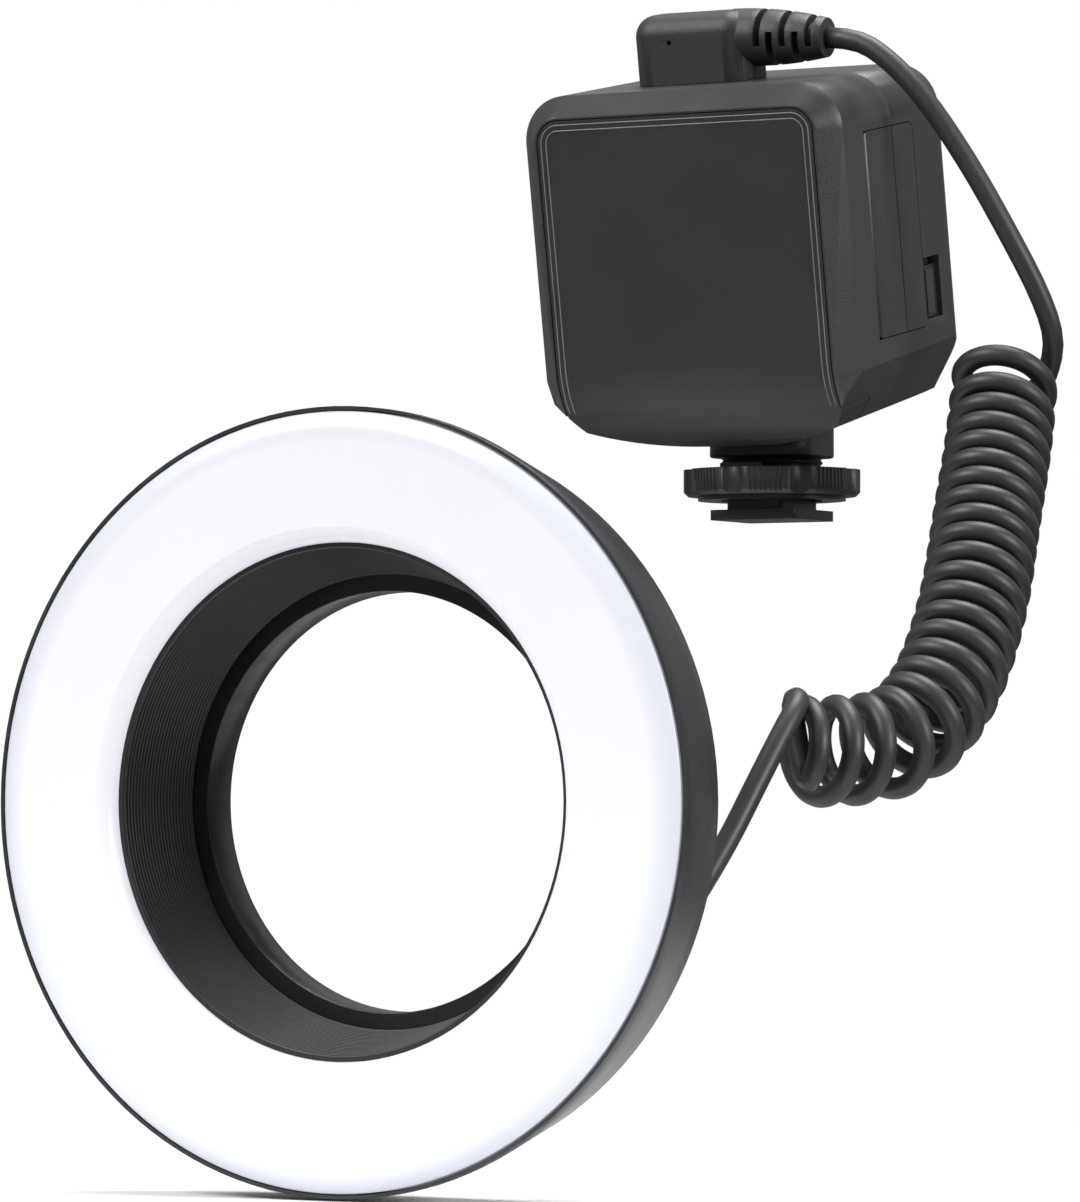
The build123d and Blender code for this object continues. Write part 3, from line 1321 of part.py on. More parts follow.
def coil_share(turn):
    """How far along the coil's middle line a turn lies: its first and last turns are looser."""
    loose = min(turn, COIL_LOOSE_TURNS) * COIL_LOOSE_SHARE
    late = max(0, turn - COIL_LAST_TURN + COIL_OPEN_TURNS)
    opened = late**2 / COIL_OPEN_TURNS * COIL_OPEN_SHARE
    return turn + loose + opened


def coil_route_shares(turns):
    """Route shares of the turns, spaced along the bends' outer side so that the inner side stays open."""
    steps = ROUTE_STEPS * (len(COIL_ROUTE) - 2)
    places = [route_point(COIL_ROUTE, step / steps) for step in range(steps + 1)]
    lengths = [0]
    for (first, first_way), (second, second_way) in zip(places, places[1:]):
        middle_step = (second - first).length
        outer_step = middle_step + COIL_RADIUS * math.radians(first_way.get_angle(second_way))
        lengths.append(lengths[-1] + middle_step**2 / outer_step)
    shares = []
    for turn in turns:
        target = lengths[-1] * coil_share(turn) / coil_share(COIL_LAST_TURN)
        index = next((i for i, value in enumerate(lengths) if value >= target), steps)
        before, after = lengths[index - 1], lengths[index]
        shares.append((index - 1 + (target - before) / (after - before)) / steps)
    return shares


def helix_points():
    """Points down the curly part, turning left-handed about the coil's middle line."""
    per_turn = COIL_QUARTERS * POINTS_PER_QUARTER
    count = round((COIL_LAST_TURN - COIL_FIRST_TURN) * per_turn)
    turns = [COIL_FIRST_TURN + step / per_turn for step in range(count + 1)]
    points = []
    side = Vector(1, 0, 0)
    for turn, share in zip(turns, coil_route_shares(turns)):
        middle, ahead = route_point(COIL_ROUTE, share)
        side = (side - ahead * side.dot(ahead)).normalized()
        up = ahead.cross(side)
        angle = 2 * math.pi * turn
        points.append(middle + side * (COIL_RADIUS * math.cos(angle)) - up * (COIL_RADIUS * math.sin(angle)))
    return points


def biarc(start, start_way, end, end_way):
    """Two arcs that join two points and keep their directions."""
    across = end - start
    pull = across.dot(start_way + end_way)
    spread = 2 * (1 - start_way.dot(end_way))
    reach = (math.sqrt(pull**2 + spread * across.dot(across)) - pull) / spread
    first_corner = start + start_way * reach
    second_corner = end - end_way * reach
    joint = (first_corner + second_corner) / 2
    joint_way = (second_corner - first_corner).normalized()
    return [
        Edge.make_tangent_arc(start, start_way, joint),
        Edge.make_tangent_arc(joint, joint_way, end),
    ]


fine_points = helix_points()


def helix_way(index):
    """The wire's direction at a fine point."""
    low = max(0, index - 1)
    high = min(len(fine_points) - 1, index + 1)
    return (fine_points[high] - fine_points[low]).normalized()


def in_frame(place, point):
    """A point of one part's own frame, in the object's frame."""
    return Vector(*(place * Pos(*point)).position)


plug_exit = in_frame(CONTROLLER, (RELIEF_END, PLUG_MIDDLE_Y, plug_base + RELIEF_AXIS - relief_drop))
plug_exit_way = in_frame(CONTROLLER, tuple(relief_way)) - in_frame(CONTROLLER, (0, 0, 0))
gland_tip = in_frame(RING, tuple(gland_bend_middle + gland_way * GLAND_LENGTH))
coil_entry = Vector(*COIL_ENTRY)
coil_exit = Vector(*COIL_EXIT)
plug_lead_points = [
    tuple(plug_exit),
    tuple(plug_exit + plug_exit_way * PLUG_LEAD_START),
    *PLUG_LEAD_ROUTE,
    COIL_ENTRY,
]
gland_lead_points = [
    COIL_EXIT,
    *GLAND_LEAD_ROUTE,
    tuple(gland_tip + gland_way * GLAND_LEAD_START),
    tuple(gland_tip),
]
entry_way = (coil_entry - Vector(*PLUG_LEAD_ROUTE[-1])).normalized()
exit_way = (Vector(*GLAND_LEAD_ROUTE[0]) - coil_exit).normalized()


def make_coil():
    """The curly part: straight in, turns on arcs of a quarter turn, straight out."""
    knots = list(range(0, len(fine_points), POINTS_PER_QUARTER))
    entry_end = coil_entry + entry_way * CORD_DIAMETER
    exit_start = coil_exit - exit_way * CORD_DIAMETER
    edges = [Edge.make_line(coil_entry, entry_end)]
    edges += biarc(entry_end, entry_way, fine_points[0], helix_way(0))
    for first, second in zip(knots, knots[1:]):
        edges += biarc(fine_points[first], helix_way(first), fine_points[second], helix_way(second))
    edges += biarc(fine_points[knots[-1]], helix_way(knots[-1]), exit_start, exit_way)
    edges.append(Edge.make_line(exit_start, coil_exit))
    path = Wire(edges)
    section = Plane(origin=coil_entry, z_dir=entry_way) * Circle(CORD_DIAMETER / 2)
    tube = sweep(section, path=path)
    area = math.pi * CORD_DIAMETER**2 / 4
    print("coil volume over section times length", round(tube.volume / (area * path.length), 4))
    print("coil wire length", round(path.length, 1))
    print("coil least gap to itself", round(least_gap(path), 3))
    arcs = [edge for edge in path.edges() if edge.geom_type == GeomType.CIRCLE]
    print("coil least bend radius", round(min(arc.radius for arc in arcs), 2))
    return tube


def least_gap(path):
    """The smallest gap between stretches of the wire over a quarter turn apart."""
    spacing = CORD_DIAMETER / 4
    count = int(path.length / spacing)
    points = [tuple(path @ (step / count)) for step in range(count + 1)]
    apart = int(math.pi * COIL_RADIUS / 2 / spacing)
    gaps = []
    for index, point in enumerate(points):
        later = points[index + apart :]
        gaps.append(min((math.dist(point, other) for other in later), default=path.length))
    return min(gaps) - CORD_DIAMETER


save("cord_lead_plug", lead_tube("plug lead", plug_lead_points))
save("cord_coil", make_coil())
save("cord_lead_ring", lead_tube("ring lead", gland_lead_points))
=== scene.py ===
import math

import bpy
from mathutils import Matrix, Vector


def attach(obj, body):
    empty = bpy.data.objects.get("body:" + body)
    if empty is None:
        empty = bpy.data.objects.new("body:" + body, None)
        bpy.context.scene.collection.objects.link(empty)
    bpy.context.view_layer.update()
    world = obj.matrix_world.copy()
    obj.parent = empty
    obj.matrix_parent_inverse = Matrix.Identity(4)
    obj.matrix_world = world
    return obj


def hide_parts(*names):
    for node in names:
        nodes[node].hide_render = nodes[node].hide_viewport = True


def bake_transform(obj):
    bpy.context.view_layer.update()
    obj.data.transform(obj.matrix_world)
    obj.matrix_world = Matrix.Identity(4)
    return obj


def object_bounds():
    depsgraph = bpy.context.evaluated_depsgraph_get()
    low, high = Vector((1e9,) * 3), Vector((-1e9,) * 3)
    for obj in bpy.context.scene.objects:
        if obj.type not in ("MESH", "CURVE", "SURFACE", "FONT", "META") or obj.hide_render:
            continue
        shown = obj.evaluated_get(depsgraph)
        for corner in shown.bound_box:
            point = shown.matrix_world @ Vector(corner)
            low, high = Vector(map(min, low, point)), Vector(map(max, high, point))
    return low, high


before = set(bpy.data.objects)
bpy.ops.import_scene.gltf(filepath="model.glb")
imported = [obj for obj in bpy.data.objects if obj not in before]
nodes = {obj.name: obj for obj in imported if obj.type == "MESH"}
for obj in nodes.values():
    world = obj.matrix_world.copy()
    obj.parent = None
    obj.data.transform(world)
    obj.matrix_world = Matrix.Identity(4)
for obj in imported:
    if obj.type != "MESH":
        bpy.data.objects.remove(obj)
cad_low, cad_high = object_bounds()
scene = bpy.context.scene
MM = 0.001

# Camera
CAMERA_DISTANCE = 1.145
CAMERA_TURN = math.radians(30.3)
RING_MIDDLE = Vector((0, -0.170, -0.055))
FOCAL_PIXELS = 6611
PICTURE_SIZE = (1080, 1202)
AIM_PIXEL = (333.7, 802.0)
SENSOR = 36
CLIP_NEAR = 0.05
CLIP_FAR = 20

# Studio
FLOOR_MIDDLE = (0.0, -0.17)
FLOOR_DROP = 0.0004
FLOOR_REACH = 0.30
FLOOR_SOLID = 0.06
FLOOR_CORNERS = ((-1, -1), (1, -1), (1, 1), (-1, 1))
FLOOR_COLOR = (0.95, 0.95, 0.955, 1)
FLOOR_ROUGH = 0.9
FLOOR_GLOSS = 0.1
WHITE = (1, 1, 1, 1)
SHINE_BELOW = 0.02
SHINE_ABOVE = 0.48
SHINE_SPAN = (-0.5, 0.6)
LIGHT_TARGET = (0, -0.05, 0.0)
LIGHTS = (
    ("key", (-0.75, -1.15, 1.0), 0.7, 22),
    ("side", (1.5, -0.25, 0.45), 0.6, 17),
    ("top", (0.1, 0.25, 1.3), 0.8, 22),
)

# Surfaces
MOTTLE_DETAIL = 4.0
MOTTLE_SCALE = 60
TONE_SPAN = (0.3, 0.7)
GLOSS_SPAN = (0.25, 0.75)
GLOSS_BELOW = 0.04
GLOSS_ABOVE = 0.05
ROUGH_LEAST = 0.02
GRAIN_DETAIL = 3.0
GRAIN_ROUGH = 0.65
# Surfaces given a painted highlight: paler colour on their sharp edges
EDGE_HIGHLIGHTED = ("shell", "control", "rim", "plug")
EDGE_HIGHLIGHT_SPAN = (0.53, 0.6)
EDGE_HIGHLIGHT_COLOR = (0.055, 0.055, 0.058, 1)
EDGE_HIGHLIGHT_AMOUNT = 0.3
# Painted glow on the diffuser's face, and painted shade darkening it towards its outer rounded edge
PAINTED_EDGE_SHADE_SPAN = (0.0635, 0.0672)
PAINTED_GLOW_COLOR = (0.93, 0.95, 1.0, 1)
PAINTED_EDGE_SHADE_COLOR = (0.30, 0.33, 0.40, 1)

# Cord, in millimetres: the points that steer its line
CORD_DIAMETER = 4.05
COIL_RADIUS = 8.2
COIL_FIRST_TURN = 0.1
COIL_LAST_TURN = 22.1
COIL_FULL_TURNS = 22.0
COIL_LOOSE_TURNS = 2
COIL_LOOSE_SHARE = 0.45
COIL_OPEN_TURNS = 5
COIL_OPEN_SHARE = 0.25
COIL_POINTS_PER_TURN = 16
COIL_ROUTE_STEPS = 40
CORD_STEPS = 3
CORD_SIDES = 16
PLUG_LEAD = [
    (23.0, -22.0, 91.5),
    (29.2, -21.95, 91.0),
    (35.0, -21.7, 87.2),
    (40.4, -21.2, 82.0),
    (45.4, -20.4, 75.6),
    (52.0, -18.6, 65.0),
    (58.0, -15.8, 53.0),
    (62.6, -11.4, 41.6),
    (64.3, -7.9, 33.0),
]
COIL_ROUTE = [
    (54.4, -9.0, 28.8),
    (57.9, -19.0, 15.1),
    (61.4, -33.5, -2.5),
    (65.2, -47.0, -18.7),
    (66.1, -61.0, -34.9),
    (63.1, -73.0, -44.1),
    (57.3, -83.0, -46.0),
    (50.8, -93.0, -45.9),
]
COIL_FOLD = [
    (49.9, -92.9, -37.0),
    (53.2, -96.2, -36.2),
    (54.6, -99.6, -38.0),
]
RING_LEAD = [
    (54.1, -103.0, -41.4),
    (51.6, -109.5, -51.5),
    (49.6, -116.5, -61.5),
    (46.6, -123.0, -71.0),
    (43.2, -128.5, -79.2),
    (40.6, -135.4, -84.4),
]

# Controller, in its own frame
BODY_TILT = math.radians(10.5)
BODY_LIFT = 16.7
BODY_HALF_WIDTH = 34.0
BODY_HEIGHT = 70.5
BODY_FRONT = -31.4
BODY_BACK = 18.4
BODY_CORNER = 9.0
UNDER_RADIUS = 18.0
BEZEL = 4.0
PLATE_MARGIN = 0.6
# Raised lines inside the plate's edge, coloured pale as a painted highlight
TRIM_INSETS = (0.75, 1.85)
TRIM_RADIUS = 0.11
TRIM_LOW = 8.8
TRIM_STEPS = 14
TRIM_SIDES = 8

# Marks on the controller's back
CONTROLS_X = 21.9
MARK_SIZE = 2.6
BUTTON_MARK_SIZE = 4.2
MARK_THICK = 0.02
MARK_WAYS = ((-1, 0, 0), (0, 0, 1), (0, 1, 0))
MARKS_BY_SWITCH = (("mark_on", "ON", 30.2), ("mark_off", "OFF", 13.8))
MARKS_ON_BUTTONS = (("mode_button_lower", "-", 24.2), ("mode_button_upper", "+", 33.2))

# Bore sleeve's rings
SLEEVE_PITCH = 0.73
SLEEVE_RELIEF = 0.14


def in_body(x, y, z):
    """A point of the controller's own frame, in the object's frame, in metres."""
    c, s = math.cos(BODY_TILT), math.sin(BODY_TILT)
    return Vector((x, y * c - z * s, y * s + z * c + BODY_LIFT)) * MM


# Helpers for shaders


def link(tree, out, into):
    """Join one node's output to another's input."""
    tree.links.new(out, into)


def noise(tree, scale, detail=2.0, rough=0.5):
    """Noise in the object's own coordinates."""
    place = tree.nodes.new("ShaderNodeTexCoord")
    node = tree.nodes.new("ShaderNodeTexNoise")
    node.inputs["Scale"].default_value = scale
    node.inputs["Detail"].default_value = detail
    node.inputs["Roughness"].default_value = rough
    link(tree, place.outputs["Object"], node.inputs["Vector"])
    return node


def ramp(tree, source, low, high, first, last):
    """A colour or grey that follows a value between two limits."""
    node = tree.nodes.new("ShaderNodeValToRGB")
    node.color_ramp.elements[0].position = low
    node.color_ramp.elements[1].position = high
    node.color_ramp.elements[0].color = first
    node.color_ramp.elements[1].color = last
    link(tree, source, node.inputs["Fac"])
    return node


def grey(value):
    """A grey colour."""
    return (value, value, value, 1)


# Camera and studio


def make_camera():
    """The photograph's view: level with the ring's middle, turned to the picture's middle."""
    forward = Vector((-math.sin(CAMERA_TURN), math.cos(CAMERA_TURN), 0))
    right = Vector((math.cos(CAMERA_TURN), math.sin(CAMERA_TURN), 0))
    aside = PICTURE_SIZE[0] / 2 - AIM_PIXEL[0]
    above = AIM_PIXEL[1] - PICTURE_SIZE[1] / 2
    look = forward * FOCAL_PIXELS + right * aside + Vector((0, 0, above))
    camera = bpy.data.objects.new("camera", bpy.data.cameras.new("camera"))
    scene.collection.objects.link(camera)
    camera.location = RING_MIDDLE - forward * CAMERA_DISTANCE
    camera.rotation_mode = "QUATERNION"
    camera.rotation_quaternion = look.to_track_quat("-Z", "Y")
    camera.data.sensor_width = SENSOR
    camera.data.lens = FOCAL_PIXELS / max(PICTURE_SIZE) * SENSOR
    camera.data.clip_start = CLIP_NEAR
    camera.data.clip_end = CLIP_FAR
    scene.camera = camera


def area_light(name, place, size, power):
    """A soft square light aimed at the object."""
    data = bpy.data.lights.new(name, "AREA")
    data.size = size
    data.energy = power
    light = bpy.data.objects.new(name, data)
    scene.collection.objects.link(light)
    light.location = place
    light.rotation_mode = "QUATERNION"
    light.rotation_quaternion = (Vector(LIGHT_TARGET) - Vector(place)).to_track_quat("-Z", "Y")


def make_floor():
    """A plain pale floor that fades out into the white surroundings."""
    middle = Vector((*FLOOR_MIDDLE, cad_low.z - FLOOR_DROP))
    corners = [middle + Vector((x, y, 0)) * FLOOR_REACH for x, y in FLOOR_CORNERS]
    mesh = bpy.data.meshes.new("studio_floor")
    mesh.from_pydata([tuple(corner) for corner in corners], [], [(0, 1, 2, 3)])
    floor = bpy.data.objects.new("studio_floor", mesh)
    scene.collection.objects.link(floor)
    material = bpy.data.materials.new("studio_floor")
    material.use_nodes = True
    tree = material.node_tree
    shader = tree.nodes["Principled BSDF"]
    shader.inputs["Base Color"].default_value = FLOOR_COLOR
    shader.inputs["Roughness"].default_value = FLOOR_ROUGH
    shader.inputs["Specular IOR Level"].default_value = FLOOR_GLOSS
    place = tree.nodes.new("ShaderNodeTexCoord")
    offset = tree.nodes.new("ShaderNodeVectorMath")
    offset.operation = "DISTANCE"
    offset.inputs[1].default_value = tuple(middle)
    link(tree, place.outputs["Object"], offset.inputs[0])
    fade = ramp(tree, offset.outputs["Value"], FLOOR_SOLID, FLOOR_REACH, grey(1), grey(0))
    link(tree, fade.outputs["Color"], shader.inputs["Alpha"])
    mesh.materials.append(material)


def make_world():
    """White surroundings, seen as white and shining a little less on the object."""
    world = bpy.data.worlds.new("studio")
    world.use_nodes = True
    tree = world.node_tree
    shine = tree.nodes["Background"]
    place = tree.nodes.new("ShaderNodeTexCoord")
    parts = tree.nodes.new("ShaderNodeSeparateXYZ")
    link(tree, place.outputs["Generated"], parts.inputs[0])
    height = tree.nodes.new("ShaderNodeMapRange")
    height.inputs["From Min"].default_value = SHINE_SPAN[0]
    height.inputs["From Max"].default_value = SHINE_SPAN[1]
    height.inputs["To Min"].default_value = SHINE_BELOW
    height.inputs["To Max"].default_value = SHINE_ABOVE
    link(tree, parts.outputs["Z"], height.inputs["Value"])
    link(tree, height.outputs["Result"], shine.inputs["Strength"])
    shine.inputs["Color"].default_value = WHITE
    seen = tree.nodes.new("ShaderNodeBackground")
    seen.inputs["Color"].default_value = WHITE
    seen.inputs["Strength"].default_value = 1.0
    rays = tree.nodes.new("ShaderNodeLightPath")
    mix = tree.nodes.new("ShaderNodeMixShader")
    link(tree, rays.outputs["Is Camera Ray"], mix.inputs[0])
    link(tree, shine.outputs[0], mix.inputs[1])
    link(tree, seen.outputs[0], mix.inputs[2])
    link(tree, mix.outputs[0], tree.nodes["World Output"].inputs["Surface"])
    scene.world = world


def make_studio():
    """Soft lights over a pale floor."""
    make_floor()
    make_world()
    for name, place, size, power in LIGHTS:
        area_light(name, place, size, power)
    scene.view_settings.view_transform = "Standard"
    scene.view_settings.look = "None"


# Materials


def surface(
    name, color, rough, grain=0, grain_depth=0.0, spread=0.06, spread_scale=MOTTLE_SCALE, **settings
):
    """A shader with slight colour and gloss variation and a fine grain in relief.

    The grain's scale is in cells a metre, and its depth in millimetres.
    """
    material = bpy.data.materials.new(name)
    material.use_nodes = True
    tree = material.node_tree
    shader = tree.nodes["Principled BSDF"]
    mottle = noise(tree, spread_scale, MOTTLE_DETAIL)
    first = [channel * (1 - spread) for channel in color] + [1]
    last = [min(1.0, channel * (1 + spread)) for channel in color] + [1]
    tone = ramp(tree, mottle.outputs["Fac"], *TONE_SPAN, first, last)
    link(tree, tone.outputs["Color"], shader.inputs["Base Color"])
    smooth = grey(max(ROUGH_LEAST, rough - GLOSS_BELOW))
    sheen = ramp(tree, mottle.outputs["Fac"], *GLOSS_SPAN, smooth, grey(rough + GLOSS_ABOVE))
    link(tree, sheen.outputs["Color"], shader.inputs["Roughness"])
    if grain:
        fine = noise(tree, grain, GRAIN_DETAIL, GRAIN_ROUGH)
        bump = tree.nodes.new("ShaderNodeBump")
        bump.inputs["Strength"].default_value = 1.0
        bump.inputs["Distance"].default_value = grain_depth * MM
        link(tree, fine.outputs["Fac"], bump.inputs["Height"])
        link(tree, bump.outputs["Normal"], shader.inputs["Normal"])
    for key, value in settings.items():
        shader.inputs[key.replace("_", " ")].default_value = value
    return material


def paint_edge_highlight(material):
    """Slightly paler sharp edges: a painted highlight along them."""
    tree = material.node_tree
    shader = tree.nodes["Principled BSDF"]
    tone = shader.inputs["Base Color"].links[0].from_socket
    edge = tree.nodes.new("ShaderNodeNewGeometry")
    edge_highlight_mask = ramp(tree, edge.outputs["Pointiness"], *EDGE_HIGHLIGHT_SPAN, grey(0), grey(EDGE_HIGHLIGHT_AMOUNT))
    mix = tree.nodes.new("ShaderNodeMix")
    mix.data_type = "RGBA"
    link(tree, edge_highlight_mask.outputs["Color"], mix.inputs["Factor"])
    link(tree, tone, mix.inputs[6])
    mix.inputs[7].default_value = EDGE_HIGHLIGHT_COLOR
    link(tree, mix.outputs[2], shader.inputs["Base Color"])


def make_materials():
    """One material for each kind of surface."""
    made = {
        "shell": surface("shell", (0.024, 0.024, 0.026), 0.36, 2600, 0.035),
        "plate": surface("plate", (0.021, 0.021, 0.024), 0.42, 4200, 0.06),
        "control": surface("control", (0.020, 0.020, 0.022), 0.36, 2600, 0.03),
        "button": surface("button", (0.030, 0.030, 0.033), 0.55, 3000, 0.03),
        "cord": surface("cord", (0.021, 0.021, 0.023), 0.46, 1500, 0.02),
        "plug": surface("plug", (0.019, 0.019, 0.020), 0.46, 3600, 0.07),
        "foot": surface("foot", (0.03, 0.03, 0.032), 0.3, 1800, 0.02, Metallic=0.6),
        "steel": surface("steel", (0.55, 0.55, 0.57), 0.28, 900, 0.01, Metallic=1.0),
        "black_steel": surface("black_steel", (0.04, 0.04, 0.043), 0.32, 1200, 0.01, Metallic=0.7),
        "contact": surface("contact", (0.75, 0.56, 0.27), 0.25, 900, 0.01, Metallic=1.0),
        "rim": surface("rim", (0.020, 0.020, 0.022), 0.36, 2600, 0.03),
        "sleeve": surface("sleeve", (0.012, 0.012, 0.0125), 0.42, 2600, 0.01),
        # The diffuser's emission is a painted glow, with painted shade at its outer edge
        "diffuser": surface(
            "diffuser", (0.55, 0.56, 0.59), 0.35, 900, 0.006, spread=0.005, Emission_Strength=0.36
        ),
        "tray": surface("tray", (0.82, 0.82, 0.82), 0.45, 1500, 0.01),
        "board": surface(
            "board", (0.02, 0.12, 0.055), 0.3, 900, 0.02, spread=0.15, spread_scale=300
        ),
        "led_board": surface("led_board", (0.8, 0.8, 0.78), 0.35, 900, 0.01),
        "led": surface("led", (0.9, 0.72, 0.25), 0.35, 1200, 0.01),
        "part": surface("part", (0.03, 0.03, 0.03), 0.45, 1800, 0.02),
        "display": surface("display", (0.16, 0.19, 0.17), 0.3, 1200, 0.01, spread=0.03),
        "battery": surface("battery", (0.2, 0.21, 0.22), 0.3, 700, 0.01),
        "adapter": surface("adapter", (0.035, 0.035, 0.037), 0.3, 1400, 0.01, Metallic=0.8),
        # Pale grey of the front plate's raised lines: a painted highlight of its step groove's
        # edges
        "line": surface("line", (0.20, 0.20, 0.205), 0.3, 1800, 0.01),
        "print": surface("print", (0.62, 0.62, 0.63), 0.5, 1800, 0.005),
    }
    made["window"] = surface("window", (0.012, 0.013, 0.014), 0.06, spread=0.02, Coat_Weight=0.6)
    # Paler sharp edges on these surfaces: a painted highlight
    for name in EDGE_HIGHLIGHTED:
        paint_edge_highlight(made[name])
    paint_ring_glow_and_edge_shade(made["diffuser"])
    ridge_rings(made["sleeve"])
    return made


def ring_place(tree):
    """Object coordinates about the ring head's middle."""
    place = tree.nodes.new("ShaderNodeTexCoord")
    shift = tree.nodes.new("ShaderNodeVectorMath")
    shift.operation = "SUBTRACT"
    shift.inputs[1].default_value = tuple(RING_MIDDLE)
    link(tree, place.outputs["Object"], shift.inputs[0])
    return shift.outputs["Vector"]


def paint_ring_glow_and_edge_shade(material):
    """A painted glow on the diffuser's face, darkened by painted shade towards its outer rounded
    edge.
    """
    tree = material.node_tree
    shader = tree.nodes["Principled BSDF"]
    flat = tree.nodes.new("ShaderNodeVectorMath")
    flat.operation = "MULTIPLY"
    flat.inputs[1].default_value = (1, 0, 1)
    link(tree, ring_place(tree), flat.inputs[0])
    length = tree.nodes.new("ShaderNodeVectorMath")
    length.operation = "LENGTH"
    link(tree, flat.outputs["Vector"], length.inputs[0])
    painted_edge_shade = ramp(tree, length.outputs["Value"], *PAINTED_EDGE_SHADE_SPAN, PAINTED_GLOW_COLOR, PAINTED_EDGE_SHADE_COLOR)
    link(tree, painted_edge_shade.outputs["Color"], shader.inputs["Emission Color"])


def ridge_rings(material):
    """Fine rings down the bore, along the ridges of its surface."""
    tree = material.node_tree
    shader = tree.nodes["Principled BSDF"]
    parts = tree.nodes.new("ShaderNodeSeparateXYZ")
    link(tree, ring_place(tree), parts.inputs[0])
    turns = tree.nodes.new("ShaderNodeMath")
    turns.operation = "MULTIPLY"
    turns.inputs[1].default_value = 2 * math.pi / (SLEEVE_PITCH * MM)
    link(tree, parts.outputs["Y"], turns.inputs[0])
    wave = tree.nodes.new("ShaderNodeMath")
    wave.operation = "SINE"
    link(tree, turns.outputs[0], wave.inputs[0])
    bump = tree.nodes.new("ShaderNodeBump")
    bump.inputs["Distance"].default_value = SLEEVE_RELIEF * MM
    link(tree, wave.outputs[0], bump.inputs["Height"])
    link(tree, shader.inputs["Normal"].links[0].from_socket, bump.inputs["Normal"])
    link(tree, bump.outputs["Normal"], shader.inputs["Normal"])


NODE_MATERIALS = {
    "shell": ["front_cover", "rear_shell", "battery_door", "neck_block"],
    "plate": ["front_plate"],
    "control": [
        "door_latch",
        "control_dial",
        "power_switch",
        "lock_wheel",
        "catch_right",
        "catch_left",
    ],
    "button": ["set_button", "mode_button_lower", "mode_button_upper"],
    "plug": ["cord_plug", "cord_gland"],
    "foot": ["shoe_foot"],
    "steel": ["door_hinge_pin", "board_screws", "neck_screws", "catch_springs"],
    "black_steel": ["housing_screws", "ring_screws", "clamp_plate"],
    "contact": ["battery_terminals", "plug_jack"],
    "rim": ["ring_housing", "ring_rear_cover"],
    "sleeve": ["bore_sleeve"],
    "diffuser": ["ring_diffuser"],
    "tray": ["light_tray"],
    "board": ["main_board"],
    "led_board": ["led_board"],
    "led": ["leds"],
    "part": ["battery_tray", "dial_encoder", "tact_switches", "switch_base", "plug_socket"],
    "display": ["display_module"],
    "battery": ["battery_pack"],
    "adapter": ["adapter_ring"],
    "window": ["display_window"],
}
BEVELS = {
    "front_cover": 0.35,
    "rear_shell": 0.25,
    "front_plate": 0.25,
    "battery_door": 0.25,
    "door_latch": 0.2,
    "neck_block": 0.4,
    "lock_wheel": 0.12,
    "cord_plug": 0.18,
    "ring_housing": 0.15,
    "ring_rear_cover": 0.3,
    "ring_diffuser": 0.15,
    "control_dial": 0.12,
    "power_switch": 0.2,
    "shoe_foot": 0.15,
    "catch_right": 0.2,
    "catch_left": 0.2,
    "adapter_ring": 0.15,
    "cord_gland": 0.2,
}
WELD = 0.002 * MM
BEVEL_ANGLE = math.radians(32)
BEVEL_SEGMENTS = 2


def dress(materials):
    """Each listed node gets its material, and the nodes listed in BEVELS get their sharp edges
    eased.
    """
    for key, names in NODE_MATERIALS.items():
        for name in names:
            node = nodes[name]
            node.data.materials.clear()
            node.data.materials.append(materials[key])
    for name, width in BEVELS.items():
        node = nodes[name]
        weld = node.modifiers.new("weld", "WELD")
        weld.merge_threshold = WELD
        bevel = node.modifiers.new("bevel", "BEVEL")
        bevel.width = width * MM
        bevel.segments = BEVEL_SEGMENTS
        bevel.limit_method = "ANGLE"
        bevel.angle_limit = BEVEL_ANGLE
        bevel.harden_normals = True


# Cord


def route_line(name, points, per_span):
    """The smooth line that a list of points steers, as points along it."""
    curve = bpy.data.curves.new(name, "CURVE")
    curve.dimensions = "3D"
    spline = curve.splines.new("NURBS")
    spline.points.add(len(points) - 1)
    for target, point in zip(spline.points, points):
        target.co = (*point, 1)
    spline.order_u = 3
    spline.use_endpoint_u = True
    curve.resolution_u = per_span
    holder = bpy.data.objects.new(name, curve)
    scene.collection.objects.link(holder)
    bpy.context.view_layer.update()
    mesh = bpy.data.meshes.new_from_object(holder)
    line = [vertex.co.copy() for vertex in mesh.vertices]
    bpy.data.objects.remove(holder)
    bpy.data.curves.remove(curve)
    bpy.data.meshes.remove(mesh)
    return line


def coil_share(turn):
    """How far along the coil's middle line a turn lies: its first and last turns are looser."""
    loose = min(turn, COIL_LOOSE_TURNS) * COIL_LOOSE_SHARE
    late = max(0, turn - COIL_FULL_TURNS + COIL_OPEN_TURNS)
    return turn + loose + late**2 / COIL_OPEN_TURNS * COIL_OPEN_SHARE


